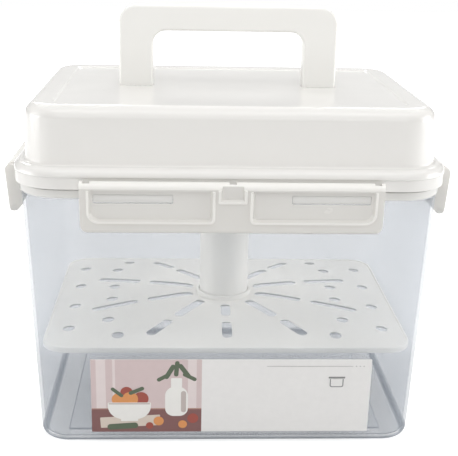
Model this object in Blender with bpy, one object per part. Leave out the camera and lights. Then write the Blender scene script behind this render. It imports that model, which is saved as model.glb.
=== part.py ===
"""A lidded fermentation container: clear tub, clip-down lid and a sprung press plate.

Metres, +Z up, front towards -Y, origin at the middle of the tub's underside.
"""
from math import acos, asin, cos, degrees, pi, radians, sin, tan

import bmesh
import bpy
from mathutils import Matrix, Vector

# Fits shared by all pieces
SEAT_GAP = 0.0003            # between pieces that rest on each other
CUT_OVERRUN = 0.002          # how far a cutter runs past the face it opens
MERGE_DISTANCE = 0.000001
CORNER_STEPS = 6             # facets round one corner of the tub and lid
ROUND_STEPS = 32             # facets round the post and guide
ARC_STEPS = 3                # facets round a small edge
FOOT_STEPS = 2               # facets round the smallest fillets
SHARP_DEG = 35               # edges above this angle are shaded sharp
EDGE_ANGLE_DEG = 60          # edges above this angle are rounded on the handle

# Tub
BASE_HALF_WIDTH = 0.1101
BASE_HALF_DEPTH = 0.0804
BASE_CORNER_RADIUS = 0.0170
DRAFT_DEG = 2.46
TUB_WALL = 0.0018
TUB_FLOOR = 0.0024
TUB_EDGE_RADIUS = 0.0070
FOOT_INSET = 0.0160
FOOT_RECESS = 0.0008
BAND_BOTTOM_HEIGHT = 0.1513
BAND_HEIGHT = 0.0047
BAND_STEP = 0.0008
LIP_HEIGHT = 0.0050          # plain lip above the band, inside the lid's channel

# Lugs that the flaps snap under
LUG_HEIGHT = 0.0043
LUG_BELOW_BAND_TOP = 0.0001
LUG_BEVEL = 0.0006

# Label on the front wall
LABEL_WIDTH = 0.1626
LABEL_HEIGHT = 0.0475
LABEL_BASE_HEIGHT = 0.0074
LABEL_SHIFT = 0.0022
LABEL_THICKNESS = 0.0003

# Lid
LID_WALL = 0.0020
LID_TOP_WALL = 0.0022
SKIRT_WALL = 0.0017
SKIRT_CLEARANCE = 0.0011
SKIRT_HEIGHT = 0.0070
SKIRT_ABOVE_BAND = 0.0008
FLANGE_STEP = 0.0005
FLANGE_RISE = 0.0047         # rounded shoulder above the skirt
FLANGE_SHELF = 0.0065        # shelf between the shoulder's edge and the dome
DOME_RISE = 0.0320
DOME_DRAFT = 0.0011
DOME_EDGE_RADIUS = 0.0072
DOME_FOOT_RADIUS = 0.0015
PANEL_INSET = 0.0160
PANEL_RECESS = 0.0008
PANEL_BEVEL = 0.0010
PLUG_WALL = 0.0018
PLUG_CLEARANCE = 0.0008
PLUG_DEPTH = 0.0090
CHANNEL_WALL = 0.0026
GASKET_HEIGHT = 0.0036
GASKET_WIDTH = 0.0026
GASKET_LIP = 0.0006

# Handle
HANDLE_WIDTH = 0.1308
HANDLE_HEIGHT = 0.0473
HANDLE_DEPTH = 0.0120
HANDLE_LEG = 0.0202
HANDLE_GRIP = 0.0149
HANDLE_OUTER_RADIUS = 0.0105
HANDLE_INNER_RADIUS = 0.0080
HANDLE_EDGE = 0.0016
HANDLE_STEPS = 5             # facets round one corner of the handle
TAB_ROOT = 0.0032            # how far a tab reaches up into its foot
TAB_WIDTH = 0.0100
TAB_DEPTH = 0.0080
TAB_BARB = 0.0012
TAB_BARB_HEIGHT = 0.0036

# Flaps and their hinge rods
FRONT_FLAP_LENGTH = 0.1628
SIDE_FLAP_LENGTH = 0.1140
FLAP_LEAN_DEG = 2.0          # beyond the draft of the tub's wall
FLAP_TIP_SLANT_DEG = 45.0    # of the cheeks' lower edge, in the end view
FLAP_HEIGHT = 0.0252         # from the hinge axis to the lower edge
FLAP_REACH = 0.0046          # from the hinge axis back to the cheeks' rear edge
FLAP_WALL = 0.0022
FLAP_END_WALL = 0.0018
FLAP_EDGE_RADIUS = 0.0022    # round of the lower tip, in the end view
FLAP_CORNER_RADIUS = 0.0060  # round of the two lower corners, in the front view
FLAP_LIP_HEIGHT = 0.0023
BARREL_RADIUS = 0.0033
BARREL_STEPS = 8
ROD_RADIUS = 0.0014
ROD_STEPS = 12
ROD_CLEARANCE = 0.00035
HINGE_CLEARANCE = 0.0005
HINGE_BELOW_SKIRT_TOP = 0.0044
EAR_WIDTH = 0.0030
EAR_HEIGHT = 0.0024
EAR_CLEARANCE = 0.0004
EAR_SKIN = 0.0015
MOUTH_WIDTH = 0.0023
WINDOW_TOP_DROP = 0.0008     # from the hinge axis to the window's upper edge
WINDOW_HEIGHT = 0.0174
WINDOW_DEPTH = 0.0013
WINDOW_END_MARGIN = 0.0049
WINDOW_MIDDLE_MARGIN = 0.0106
WINDOW_OUTER_RADIUS = 0.0050
WINDOW_INNER_RADIUS = 0.0016
BEAD_WIDTH = 0.0013
BEAD_HEIGHT = 0.0007
SLOT_TOP_DROP = 0.0032
SLOT_HEIGHT = 0.0052
SLOT_END_MARGIN = 0.0022     # between the window's outer edge and the slot
SLOT_SHARE = 0.645           # slot length as a share of the window's length
LUG_END_CLEARANCE = 0.0010
LUG_TIP_DROP = 0.0003        # how far the lug's tip stays behind the window floor
POCKET_WIDTH = 0.0130
POCKET_TOP_RISE = 0.0022     # from the hinge axis up to the pocket's upper edge
POCKET_HEIGHT = 0.0088
POCKET_DEPTH = 0.0007
RIB_WALL = 0.0014

# Press
PLATE_HEIGHT = 0.0600        # upper face of the plate's rim above the base
PLATE_CLEARANCE = 0.0027
PLATE_WALL = 0.0020
PLATE_RIM_HEIGHT = 0.0036
PLATE_RIM_WALL = 0.0016
PLATE_BEAD_DROP = 0.0006
PLATE_CROWN = 0.0070
PLATE_WELL_RADIUS = 0.0270
PLATE_WELL_DEPTH = 0.0022
COLLAR_WALL = 0.0017
COLLAR_HEIGHT = 0.0030
HOLE_RADIUS = 0.0034
HOLE_SIDES = 10
SLIT_WIDTH = 0.0055
SLIT_STEPS = 4               # facets round one end of a slit
POST_RADIUS = 0.0155
POST_WALL = 0.0018
POST_FLOOR = 0.0022
POST_LENGTH = 0.0850
STUD_RADIUS = 0.0055
STUD_HEAD_STEP = 0.0012
STUD_HEAD_HEIGHT = 0.0016
BUSH_LENGTH = 0.0200
BUSH_COLLAR_HEIGHT = 0.0020
GUIDE_WALL = 0.0012
GUIDE_STOP_STEP = 0.0011
GUIDE_STOP_HEIGHT = 0.0025
BOSS_WALL = 0.0015
BOSS_LENGTH = 0.0120
SPRING_CLEARANCE = 0.0008
SPRING_WIRE_RADIUS = 0.0008
SPRING_TURNS = 13
SPRING_STEPS = 9

# Press plate pattern: slits as shares of the way to the rim, holes as shares of the half sizes
SLIT_ANGLES_DEG = (18.0, 54.0, 90.0)     # and their mirror images
INNER_SLIT_SHARES = {18.0: (0.185, 0.448), 54.0: (0.247, 0.526), 90.0: (0.331, 0.522)}
OUTER_SLIT_SHARES = {18.0: (0.510, 0.765), 54.0: (0.598, 0.814), 90.0: (0.624, 0.853)}
HOLE_SHARES = ((0.873, 0.222), (0.873, 0.665), (0.662, 0.140), (0.662, 0.560), (0.596, 0.815))
CROWN_RING_SHARES = (0.97, 0.86, 0.72, 0.58, 0.44)

# Sizes worked out from those above
DRAFT = tan(radians(DRAFT_DEG))
BAND_TOP = BAND_BOTTOM_HEIGHT + BAND_HEIGHT
RIM_TOP = BAND_TOP + LIP_HEIGHT
RIM_OFFSET = RIM_TOP * DRAFT
SKIRT_BOTTOM = BAND_TOP + SKIRT_ABOVE_BAND
SKIRT_TOP = SKIRT_BOTTOM + SKIRT_HEIGHT
SKIRT_INNER = RIM_OFFSET + SKIRT_CLEARANCE
SKIRT_OUTER = SKIRT_INNER + SKIRT_WALL
FLANGE_OUTER = SKIRT_OUTER + FLANGE_STEP
FLANGE_TOP = SKIRT_TOP + FLANGE_RISE
DOME_FOOT = FLANGE_OUTER - FLANGE_SHELF
DOME_TOP_OFFSET = DOME_FOOT - DOME_DRAFT
LID_TOP = FLANGE_TOP + DOME_RISE
PANEL_TOP = LID_TOP - PANEL_RECESS
PANEL_OFFSET = DOME_TOP_OFFSET - PANEL_INSET
CEILING = PANEL_TOP - LID_TOP_WALL
PLUG_OUTER = (RIM_TOP - PLUG_DEPTH) * DRAFT - TUB_WALL - PLUG_CLEARANCE
PLUG_INNER = PLUG_OUTER - PLUG_WALL
CHANNEL_TOP = FLANGE_TOP - CHANNEL_WALL
HINGE_OFFSET = SKIRT_OUTER + HINGE_CLEARANCE + BARREL_RADIUS
HINGE_HEIGHT = SKIRT_TOP - HINGE_BELOW_SKIRT_TOP
WINDOW_FLOOR = BARREL_RADIUS - WINDOW_DEPTH
PLATE_OFFSET = PLATE_HEIGHT * DRAFT - TUB_WALL - PLATE_CLEARANCE
WELL_FLOOR = PLATE_HEIGHT + PLATE_CROWN - PLATE_WELL_DEPTH
POST_FOOT = WELL_FLOOR + SEAT_GAP
POST_TOP = POST_FOOT + POST_LENGTH
POST_BORE = POST_RADIUS - POST_WALL
COLLAR_BORE = POST_RADIUS + SEAT_GAP
GUIDE_STOP_RADIUS = POST_BORE - SEAT_GAP
GUIDE_RADIUS = GUIDE_STOP_RADIUS - GUIDE_STOP_STEP
GUIDE_BORE = GUIDE_RADIUS - GUIDE_WALL
BUSH_BORE = GUIDE_RADIUS + SEAT_GAP
BUSH_FOOT = POST_TOP - BUSH_LENGTH
GUIDE_FOOT = BUSH_FOOT - SEAT_GAP - GUIDE_STOP_HEIGHT
BOSS_RADIUS = GUIDE_BORE - SEAT_GAP
BOSS_BORE = BOSS_RADIUS - BOSS_WALL


def clear_scene():
    """Removes every object, so that the file holds only this container."""
    for item in list(bpy.data.objects):
        bpy.data.objects.remove(item, do_unlink=True)


def make_material(name, colour, roughness, alpha=1.0):
    """A Principled material with the given colour, roughness and opacity."""
    material = bpy.data.materials.new(name)
    material.use_nodes = True
    shader = material.node_tree.nodes["Principled BSDF"]
    shader.inputs["Base Color"].default_value = (*colour, 1.0)
    shader.inputs["Roughness"].default_value = roughness
    shader.inputs["Alpha"].default_value = alpha
    return material


def finish_mesh(bm, name):
    """Merges doubles, turns the faces outwards and links the mesh as an object."""
    bmesh.ops.remove_doubles(bm, verts=bm.verts, dist=MERGE_DISTANCE)
    bmesh.ops.recalc_face_normals(bm, faces=bm.faces)
    mesh = bpy.data.meshes.new(name)
    bm.to_mesh(mesh)
    bm.free()
    item = bpy.data.objects.new(name, mesh)
    bpy.context.scene.collection.objects.link(item)
    return item


def arc(centre, radius, start_deg, end_deg, steps=ARC_STEPS):
    """Points of an arc in the plane, both ends included."""
    turns = [radians(start_deg + (end_deg - start_deg) * i / steps) for i in range(steps + 1)]
    return [(centre[0] + radius * cos(turn), centre[1] + radius * sin(turn)) for turn in turns]


def circle(radius, steps, start_deg=0.0, centre=(0, 0)):
    """Points of a full circle in the plane, none of them twice."""
    return arc(centre, radius, start_deg, start_deg + 360 - 360 / steps, steps - 1)


def rounded_loop(half_x, half_y, radius, height):
    """Points round a rounded rectangle at one height, anticlockwise from +X."""
    points = []
    for quarter, (side_x, side_y) in enumerate(((1, 1), (-1, 1), (-1, -1), (1, -1))):
        centre = (side_x * (half_x - radius), side_y * (half_y - radius))
        turn = 90 * quarter
        points += [Vector((*point, height)) for point in arc(centre, radius, turn, turn + 90, CORNER_STEPS)]
    return points


def wall_loop(offset, height):
    """The tub's base outline, moved outwards by offset and raised to height."""
    return rounded_loop(BASE_HALF_WIDTH + offset, BASE_HALF_DEPTH + offset,
                        BASE_CORNER_RADIUS + offset, height)


def loft(name, loops, ring=False):
    """Skins a row of loops, closed into a ring or capped at both ends."""
    bm = bmesh.new()
    rows = [[bm.verts.new(point) for point in loop] for loop in loops]
    pairs = list(zip(rows, rows[1:] + rows[:1])) if ring else list(zip(rows, rows[1:]))
    for low, high in pairs:
        for a, b, c, d in zip(low, low[1:] + low[:1], high[1:] + high[:1], high):
            bm.faces.new((a, b, c, d))
    if not ring:
        bm.faces.new(rows[0])
        bm.faces.new(rows[-1])
    return finish_mesh(bm, name)


def lathe(name, outline, steps=ROUND_STEPS):
    """Spins a closed outline of (radius, height) points round Z."""
    bm = bmesh.new()
    corners = [bm.verts.new((radius, 0, height)) for radius, height in outline]
    edges = [bm.edges.new(pair) for pair in zip(corners, corners[1:] + corners[:1])]
    bmesh.ops.spin(bm, geom=corners + edges, cent=(0, 0, 0), axis=(0, 0, 1),
                   angle=2 * pi, steps=steps, use_merge=True)
    return finish_mesh(bm, name)


def prism(name, outline, start, end, along="Y"):
    """Pushes a closed flat outline along Y, X or Z from start to end."""
    place = {"X": lambda a, b, c: (c, a, b), "Y": lambda a, b, c: (a, c, b), "Z": lambda a, b, c: (a, b, c)}
    step = {"X": (1, 0, 0), "Y": (0, 1, 0), "Z": (0, 0, 1)}[along]
    bm = bmesh.new()
    face = bm.faces.new([bm.verts.new(place[along](a, b, start)) for a, b in outline])
    grown = bmesh.ops.extrude_face_region(bm, geom=[face])
    moved = [item for item in grown["geom"] if isinstance(item, bmesh.types.BMVert)]
    bmesh.ops.translate(bm, verts=moved, vec=Vector(step) * (end - start))
    return finish_mesh(bm, name)


def block(name, low, high):
    """A plain box between two corners."""
    outline = ((low[0], low[1]), (high[0], low[1]), (high[0], high[1]), (low[0], high[1]))
    return prism(name, outline, low[2], high[2], "Z")


def corner_outline(low, high, radii, steps=ARC_STEPS):
    """A rectangle's outline with its own radius at each corner, from the lower left round."""
    centres = ((low[0] + radii[0], low[1] + radii[0]), (high[0] - radii[1], low[1] + radii[1]),
               (high[0] - radii[2], high[1] - radii[2]), (low[0] + radii[3], high[1] - radii[3]))
    points = []
    for number, (centre, radius) in enumerate(zip(centres, radii)):
        points += arc(centre, radius, 180 + 90 * number, 270 + 90 * number, steps) if radius else [centre]
    return points


def turned(item, matrix):
    """Turns or moves a piece's mesh and hands the piece back."""
    item.data.transform(matrix)
    return item


def joined(name, pieces):
    """Puts several closed meshes in one object, still as separate bodies."""
    bm = bmesh.new()
    for piece in pieces:
        bm.from_mesh(piece.data)
        bpy.data.objects.remove(piece, do_unlink=True)
    return finish_mesh(bm, name)


def combine(piece, others, operation):
    """Adds or cuts the others by exact Booleans, one after another, and removes them."""
    for other in others:
        other.hide_render = True
        other.display_type = "WIRE"
        step = piece.modifiers.new(operation.title(), "BOOLEAN")
        step.operation = operation
        step.solver = "EXACT"
        step.object = other
    bpy.context.view_layer.update()
    shaped = piece.evaluated_get(bpy.context.evaluated_depsgraph_get())
    mesh = bpy.data.meshes.new_from_object(shaped)
    piece.modifiers.clear()
    piece.data = mesh
    for other in others:
        bpy.data.objects.remove(other, do_unlink=True)
    return piece


def dress(piece, material):
    """Gives a piece its material and smooth shading between sharp edges."""
    piece.data.materials.clear()
    piece.data.materials.append(material)
    piece.data.shade_smooth()
    piece.data.set_sharp_from_angle(angle=radians(SHARP_DEG))
    return piece


def half_size(side):
    """The tub's base half size towards the front and back, or the sides."""
    return BASE_HALF_DEPTH if side in ("front", "back") else BASE_HALF_WIDTH


def side_frame(side, reach):
    """Places a piece built for the front at any side, reach metres out from the axis."""
    turn = {"front": 0, "right": 90, "back": 180, "left": 270}[side]
    return Matrix.Rotation(radians(turn), 4, "Z") @ Matrix.Translation((0, -reach, 0))


def window_span(length):
    """A flap window's inner and outer edge, measured from the flap's middle."""
    return WINDOW_MIDDLE_MARGIN, length / 2 - WINDOW_END_MARGIN


def slot_span(length):
    """A lug slot's inner and outer edge, measured from the flap's middle."""
    inner, outer = window_span(length)
    outer_edge = outer - SLOT_END_MARGIN
    return outer_edge - (outer - inner) * SLOT_SHARE, outer_edge


def rod_half_length(length):
    """Half the length of the hinge rod inside a flap of the given length."""
    return length / 2 - FLAP_END_WALL - ROD_CLEARANCE


def ear_places(length):
    """Where the ears carry a hinge rod: at both ends and in the middle."""
    end = rod_half_length(length) - EAR_WIDTH / 2
    return -end, 0.0, end


def flap_length(side):
    """The length of the flap on one side."""
    return FRONT_FLAP_LENGTH if side in ("front", "back") else SIDE_FLAP_LENGTH


SIDES = ("front", "back", "left", "right")


def build_lugs(side):
    """The two lugs that one flap's slots snap over, placed on the tub."""
    low = BAND_TOP - LUG_BELOW_BAND_TOP - LUG_HEIGHT
    high = BAND_TOP - LUG_BELOW_BAND_TOP
    root = HINGE_OFFSET - low * DRAFT + TUB_WALL / 2
    tip = WINDOW_FLOOR - LUG_TIP_DROP - (HINGE_HEIGHT - low) * DRAFT
    inner, outer = slot_span(flap_length(side))
    outline = ((root, low), (-tip + LUG_BEVEL, low), (-tip, low + LUG_BEVEL),
               (-tip, high - LUG_BEVEL), (-tip + LUG_BEVEL, high), (root, high))
    frame = side_frame(side, half_size(side) + HINGE_OFFSET)
    lugs = []
    for hand in (-1, 1):
        ends = sorted((hand * (inner + LUG_END_CLEARANCE), hand * (outer - LUG_END_CLEARANCE)))
        lugs.append(turned(prism("lug", outline, *ends, along="X"), frame))
    return lugs


def build_tub(material):
    """The clear tub, with its foot, drafted wall, rim band, lip and lugs."""
    fillet = arc((-TUB_EDGE_RADIUS, TUB_EDGE_RADIUS), TUB_EDGE_RADIUS, 270, 360 - DRAFT_DEG, ARC_STEPS + 1)
    inner_radius = TUB_EDGE_RADIUS - TUB_WALL
    inner_fillet = arc((-TUB_EDGE_RADIUS, TUB_FLOOR + inner_radius), inner_radius, 360 - DRAFT_DEG, 270)
    loops = [wall_loop(-FOOT_INSET, FOOT_RECESS), wall_loop(-FOOT_INSET + FOOT_RECESS, 0)]
    loops += [wall_loop(offset, height) for offset, height in fillet]
    loops += [
        wall_loop(BAND_BOTTOM_HEIGHT * DRAFT, BAND_BOTTOM_HEIGHT),
        wall_loop(BAND_BOTTOM_HEIGHT * DRAFT + BAND_STEP, BAND_BOTTOM_HEIGHT + BAND_STEP),
        wall_loop(BAND_TOP * DRAFT + BAND_STEP, BAND_TOP),
        wall_loop(BAND_TOP * DRAFT, BAND_TOP),
        wall_loop(RIM_OFFSET, RIM_TOP),
        wall_loop(RIM_OFFSET - TUB_WALL, RIM_TOP),
    ]
    loops += [wall_loop(offset, height) for offset, height in inner_fillet]
    tub = loft("tub", loops)
    lugs = [lug for side in SIDES for lug in build_lugs(side)]
    return dress(combine(tub, lugs, "UNION"), material)


def build_label(material):
    """A thin sticker that lies along the front wall."""
    low = (LABEL_SHIFT - LABEL_WIDTH / 2, -LABEL_THICKNESS - SEAT_GAP, 0)
    high = (LABEL_SHIFT + LABEL_WIDTH / 2, -SEAT_GAP, LABEL_HEIGHT)
    reach = BASE_HALF_DEPTH + LABEL_BASE_HEIGHT * DRAFT
    place = (Matrix.Translation((0, -reach, LABEL_BASE_HEIGHT))
             @ Matrix.Rotation(radians(DRAFT_DEG), 4, "X"))
    return dress(turned(block("label", low, high), place), material)


def build_hinge(side):
    """A rod on three ears for one flap, placed beside the lid's skirt."""
    length = flap_length(side)
    half = rod_half_length(length)
    rod = prism("rod", circle(ROD_RADIUS, ROD_STEPS), -half, half, "X")
    parts = [rod]
    for middle in ear_places(length):
        low = (middle - EAR_WIDTH / 2, 0, -EAR_HEIGHT / 2)
        high = (middle + EAR_WIDTH / 2, HINGE_OFFSET - SKIRT_OUTER + SKIRT_WALL / 2, EAR_HEIGHT / 2)
        parts.append(block("ear", low, high))
    frame = side_frame(side, half_size(side) + HINGE_OFFSET) @ Matrix.Translation((0, 0, HINGE_HEIGHT))
    return [turned(part, frame) for part in parts]


def tab_places():
    """The middle of each handle foot along X."""
    return [hand * (HANDLE_WIDTH - HANDLE_LEG) / 2 for hand in (-1, 1)]


def build_lid_shell(material):
    """The domed lid, with its skirt, sealing channel, plug wall, boss and hinge rods."""
    top_centre = (DOME_TOP_OFFSET - DOME_EDGE_RADIUS, LID_TOP - DOME_EDGE_RADIUS)
    foot_centre = (DOME_FOOT + DOME_FOOT_RADIUS, FLANGE_TOP + DOME_FOOT_RADIUS)
    shoulder_centre = (FLANGE_OUTER - FLANGE_RISE, SKIRT_TOP)
    outline = [(PANEL_OFFSET, PANEL_TOP), (PANEL_OFFSET + PANEL_BEVEL, LID_TOP)]
    outline += arc(top_centre, DOME_EDGE_RADIUS, 90, 0, ARC_STEPS + 1)
    outline += arc(foot_centre, DOME_FOOT_RADIUS, 180, 270, FOOT_STEPS)
    outline += arc(shoulder_centre, FLANGE_RISE, 90, 0, ARC_STEPS + 1)
    outline += [
        (SKIRT_OUTER, SKIRT_TOP - FLANGE_STEP), (SKIRT_OUTER, SKIRT_BOTTOM), (SKIRT_INNER, SKIRT_BOTTOM),
        (SKIRT_INNER, CHANNEL_TOP), (PLUG_OUTER, CHANNEL_TOP), (PLUG_OUTER, RIM_TOP - PLUG_DEPTH),
        (PLUG_INNER, RIM_TOP - PLUG_DEPTH), (PLUG_INNER, FLANGE_TOP - LID_WALL),
        (DOME_FOOT - LID_WALL, FLANGE_TOP - LID_WALL + DOME_FOOT_RADIUS),
    ]
    inner_radius = DOME_EDGE_RADIUS - LID_WALL
    inner_centre = (DOME_TOP_OFFSET - DOME_EDGE_RADIUS, CEILING - inner_radius)
    outline += arc(inner_centre, inner_radius, 0, 90)
    lid = loft("lid_shell", [wall_loop(offset, height) for offset, height in outline])
    boss = lathe("boss", ((BOSS_BORE, CEILING - BOSS_LENGTH), (BOSS_RADIUS, CEILING - BOSS_LENGTH),
                          (BOSS_RADIUS, CEILING + LID_TOP_WALL / 2), (BOSS_BORE, CEILING + LID_TOP_WALL / 2)))
    hinges = [part for side in SIDES for part in build_hinge(side)]
    combine(lid, [boss] + hinges, "UNION")
    half_width = TAB_WIDTH / 2 + SEAT_GAP
    half_depth = TAB_DEPTH / 2 + SEAT_GAP
    slots = [block("tab_slot", (middle - half_width, -half_depth, CEILING - CUT_OVERRUN),
                   (middle + half_width, half_depth, LID_TOP + CUT_OVERRUN)) for middle in tab_places()]
    return dress(combine(lid, slots, "DIFFERENCE"), material)


def build_gasket(material):
    """The soft seal that fills the top of the lid's channel, above the tub's lip."""
    top = CHANNEL_TOP - SEAT_GAP
    low = max(RIM_TOP + SEAT_GAP, top - GASKET_HEIGHT)
    middle = RIM_OFFSET - TUB_WALL / 2
    inner = middle - GASKET_WIDTH / 2
    outer = middle + GASKET_WIDTH / 2
    outline = ((inner, low + GASKET_LIP), (inner + GASKET_LIP, low), (outer - GASKET_LIP, low),
               (outer, low + GASKET_LIP), (outer, top), (inner, top))
    return dress(loft("lid_gasket", [wall_loop(*point) for point in outline], ring=True), material)


def build_tab(middle):
    """A barbed tab that holds one handle foot in the lid's top."""
    half = TAB_WIDTH / 2
    root = PANEL_TOP + SEAT_GAP + TAB_ROOT
    catch = CEILING - SEAT_GAP
    tip = catch - TAB_BARB_HEIGHT
    outline = ((-half, root), (-half, catch), (-half - TAB_BARB, catch), (-half + TAB_BARB, tip),
               (half - TAB_BARB, tip), (half + TAB_BARB, catch), (half, catch), (half, root))
    placed = [(middle + across, height) for across, height in outline]
    return prism("tab", placed, -TAB_DEPTH / 2, TAB_DEPTH / 2)


def build_handle(material):
    """The fixed carry handle: a rounded arch on two barbed feet."""
    foot = PANEL_TOP + SEAT_GAP
    half = HANDLE_WIDTH / 2
    top = foot + HANDLE_HEIGHT
    window = half - HANDLE_LEG
    outline = [(-half, foot)]
    shoulder = top - HANDLE_OUTER_RADIUS
    outline += arc((HANDLE_OUTER_RADIUS - half, shoulder), HANDLE_OUTER_RADIUS, 180, 90, HANDLE_STEPS)
    outline += arc((half - HANDLE_OUTER_RADIUS, shoulder), HANDLE_OUTER_RADIUS, 90, 0, HANDLE_STEPS)
    outline += [(half, foot), (window, foot)]
    ceiling = top - HANDLE_GRIP - HANDLE_INNER_RADIUS
    outline += arc((window - HANDLE_INNER_RADIUS, ceiling), HANDLE_INNER_RADIUS, 0, 90, HANDLE_STEPS)
    outline += arc((HANDLE_INNER_RADIUS - window, ceiling), HANDLE_INNER_RADIUS, 90, 180, HANDLE_STEPS)
    outline += [(-window, foot)]
    handle = prism("handle", outline, -HANDLE_DEPTH / 2, HANDLE_DEPTH / 2)
    rounding = handle.modifiers.new("Rounded edges", "BEVEL")
    rounding.width = HANDLE_EDGE
    rounding.segments = 2
    rounding.limit_method = "ANGLE"
    rounding.angle_limit = radians(EDGE_ANGLE_DEG)
    combine(handle, [build_tab(middle) for middle in tab_places()], "UNION")
    return dress(handle, material)


def flap_outline():
    """The flap's end view: outward distance and height from the hinge axis."""
    points = arc((0, 0), BARREL_RADIUS, 180, 0, BARREL_STEPS)
    points += arc((BARREL_RADIUS - FLAP_EDGE_RADIUS, FLAP_EDGE_RADIUS - FLAP_HEIGHT),
                  FLAP_EDGE_RADIUS, 0, -90 - FLAP_TIP_SLANT_DEG)
    across, low = points[-1]
    rise = (across + FLAP_REACH) * tan(radians(FLAP_TIP_SLANT_DEG))
    points += [(-FLAP_REACH, low + rise), (-FLAP_REACH, -BARREL_RADIUS - HINGE_CLEARANCE),
               (-BARREL_RADIUS, HINGE_CLEARANCE - BARREL_RADIUS)]
    return points


def build_flap(length, name):
    """A lock flap about its hinge axis along X, outwards towards -Y, upright."""
    half = length / 2
    body = prism(name, [(-out, height) for out, height in flap_outline()], -half, half, "X")
    inner, outer = window_span(length)
    top = -WINDOW_TOP_DROP
    bottom = top - WINDOW_HEIGHT
    face = -BARREL_RADIUS
    beads = []
    windows = []
    for hand in (-1, 1):
        near, far = WINDOW_INNER_RADIUS, WINDOW_OUTER_RADIUS
        low, high = sorted((hand * inner, hand * outer))
        radii = (near, far, 0, 0) if hand > 0 else (far, near, 0, 0)
        grown = [radius + BEAD_WIDTH if radius else 0 for radius in radii]
        frame = corner_outline((low - BEAD_WIDTH, bottom - BEAD_WIDTH), (high + BEAD_WIDTH, top), grown)
        beads.append(prism("bead", frame, face + FLAP_WALL / 2, face - BEAD_HEIGHT))
        windows.append(prism("window", corner_outline((low, bottom), (high, top), radii),
                             -WINDOW_FLOOR, face - CUT_OVERRUN))
    pocket_half = POCKET_WIDTH / 2
    pocket_low = POCKET_TOP_RISE - POCKET_HEIGHT
    bead_half = pocket_half + BEAD_WIDTH
    beads.append(block("pocket_bead", (-bead_half, face - BEAD_HEIGHT, pocket_low - BEAD_WIDTH),
                       (bead_half, face + FLAP_WALL / 2, 0)))
    windows.append(block("pocket", (-pocket_half, face - CUT_OVERRUN, pocket_low),
                         (pocket_half, face + POCKET_DEPTH, POCKET_TOP_RISE)))
    combine(body, beads, "UNION")
    return combine(body, windows + flap_cores(length) + flap_corners(length), "DIFFERENCE")


def flap_corners(length):
    """What is rounded off the flap's two lower corners."""
    side = length / 2
    radius = FLAP_CORNER_RADIUS
    past = CUT_OVERRUN
    outline = [(side + past, -FLAP_HEIGHT - past), (side + past, radius - FLAP_HEIGHT)]
    outline += arc((side - radius, radius - FLAP_HEIGHT), radius, 0, -90, ARC_STEPS + 1)
    outline += [(side - radius, -FLAP_HEIGHT - past)]
    front = -BARREL_RADIUS - past
    back = FLAP_REACH + past
    mirrored = [(-across, height) for across, height in outline]
    return [prism("corner", points, front, back) for points in (outline, mirrored)]


def flap_bay():
    """A bay's end view: below the rod's mouth, round the barrel and down the front wall."""
    wall = FLAP_WALL - BARREL_RADIUS
    floor = FLAP_LIP_HEIGHT - FLAP_HEIGHT
    back = FLAP_REACH + CUT_OVERRUN
    roof = -MOUTH_WIDTH / 4
    first = degrees(asin(roof / BARREL_RADIUS))
    last = -degrees(acos(wall / BARREL_RADIUS))
    under = arc((0, 0), BARREL_RADIUS, first, last, BARREL_STEPS)
    return [(wall, floor), (back, floor), (back, roof)] + under


def flap_cores(length):
    """What is hollowed out of a flap: the rod's bore and mouth, bays, slots and ear gaps."""
    half = length / 2
    back = FLAP_REACH + CUT_OVERRUN
    bore = rod_half_length(length) + ROD_CLEARANCE
    tunnel = circle(ROD_RADIUS + ROD_CLEARANCE, ROD_STEPS, 180 / ROD_STEPS)
    cores = [prism("bore", tunnel, -bore, bore, "X"),
             block("mouth", (-bore, 0, -MOUTH_WIDTH / 2), (bore, back, MOUTH_WIDTH / 2))]
    rib = WINDOW_MIDDLE_MARGIN + RIB_WALL / 2
    edges = ((FLAP_END_WALL - half, -rib - RIB_WALL / 2), (RIB_WALL / 2 - rib, rib - RIB_WALL / 2),
             (rib + RIB_WALL / 2, half - FLAP_END_WALL))
    cores += [prism("bay", flap_bay(), low, high, "X") for low, high in edges]
    inner, outer = slot_span(length)
    behind = FLAP_WALL - BARREL_RADIUS + CUT_OVERRUN
    for hand in (-1, 1):
        low, high = sorted((hand * inner, hand * outer))
        cores.append(block("slot", (low, -BARREL_RADIUS - CUT_OVERRUN, -SLOT_TOP_DROP - SLOT_HEIGHT),
                           (high, behind, -SLOT_TOP_DROP)))
    gap_half = EAR_WIDTH / 2 + EAR_CLEARANCE
    for middle in ear_places(length):
        low = max(middle - gap_half, -bore)
        high = min(middle + gap_half, bore)
        cores.append(block("ear_gap", (low, EAR_SKIN - BARREL_RADIUS, -EAR_HEIGHT / 2 - EAR_CLEARANCE),
                           (high, back, BARREL_RADIUS + CUT_OVERRUN)))
    return cores


def place_flaps(material):
    """Hangs the four flaps from their rods, leaning in a little more than the tub's wall."""
    for sides, length in ((("front", "back"), FRONT_FLAP_LENGTH), (("left", "right"), SIDE_FLAP_LENGTH)):
        first = build_flap(length, "flap_" + sides[0])
        turned(first, Matrix.Rotation(radians(DRAFT_DEG + FLAP_LEAN_DEG), 4, "X"))
        dress(first, material)
        second = bpy.data.objects.new("flap_" + sides[1], first.data)
        bpy.context.scene.collection.objects.link(second)
        for side, flap in zip(sides, (first, second)):
            frame = side_frame(side, half_size(side) + HINGE_OFFSET)
            flap.matrix_world = frame @ Matrix.Translation((0, 0, HINGE_HEIGHT))


def crown_height(share):
    """How far the plate's upper face lies above its rim, from 0 at the rim to 1 at the middle."""
    return PLATE_HEIGHT - PLATE_BEAD_DROP + PLATE_CROWN * (1 - share ** 2)


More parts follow.
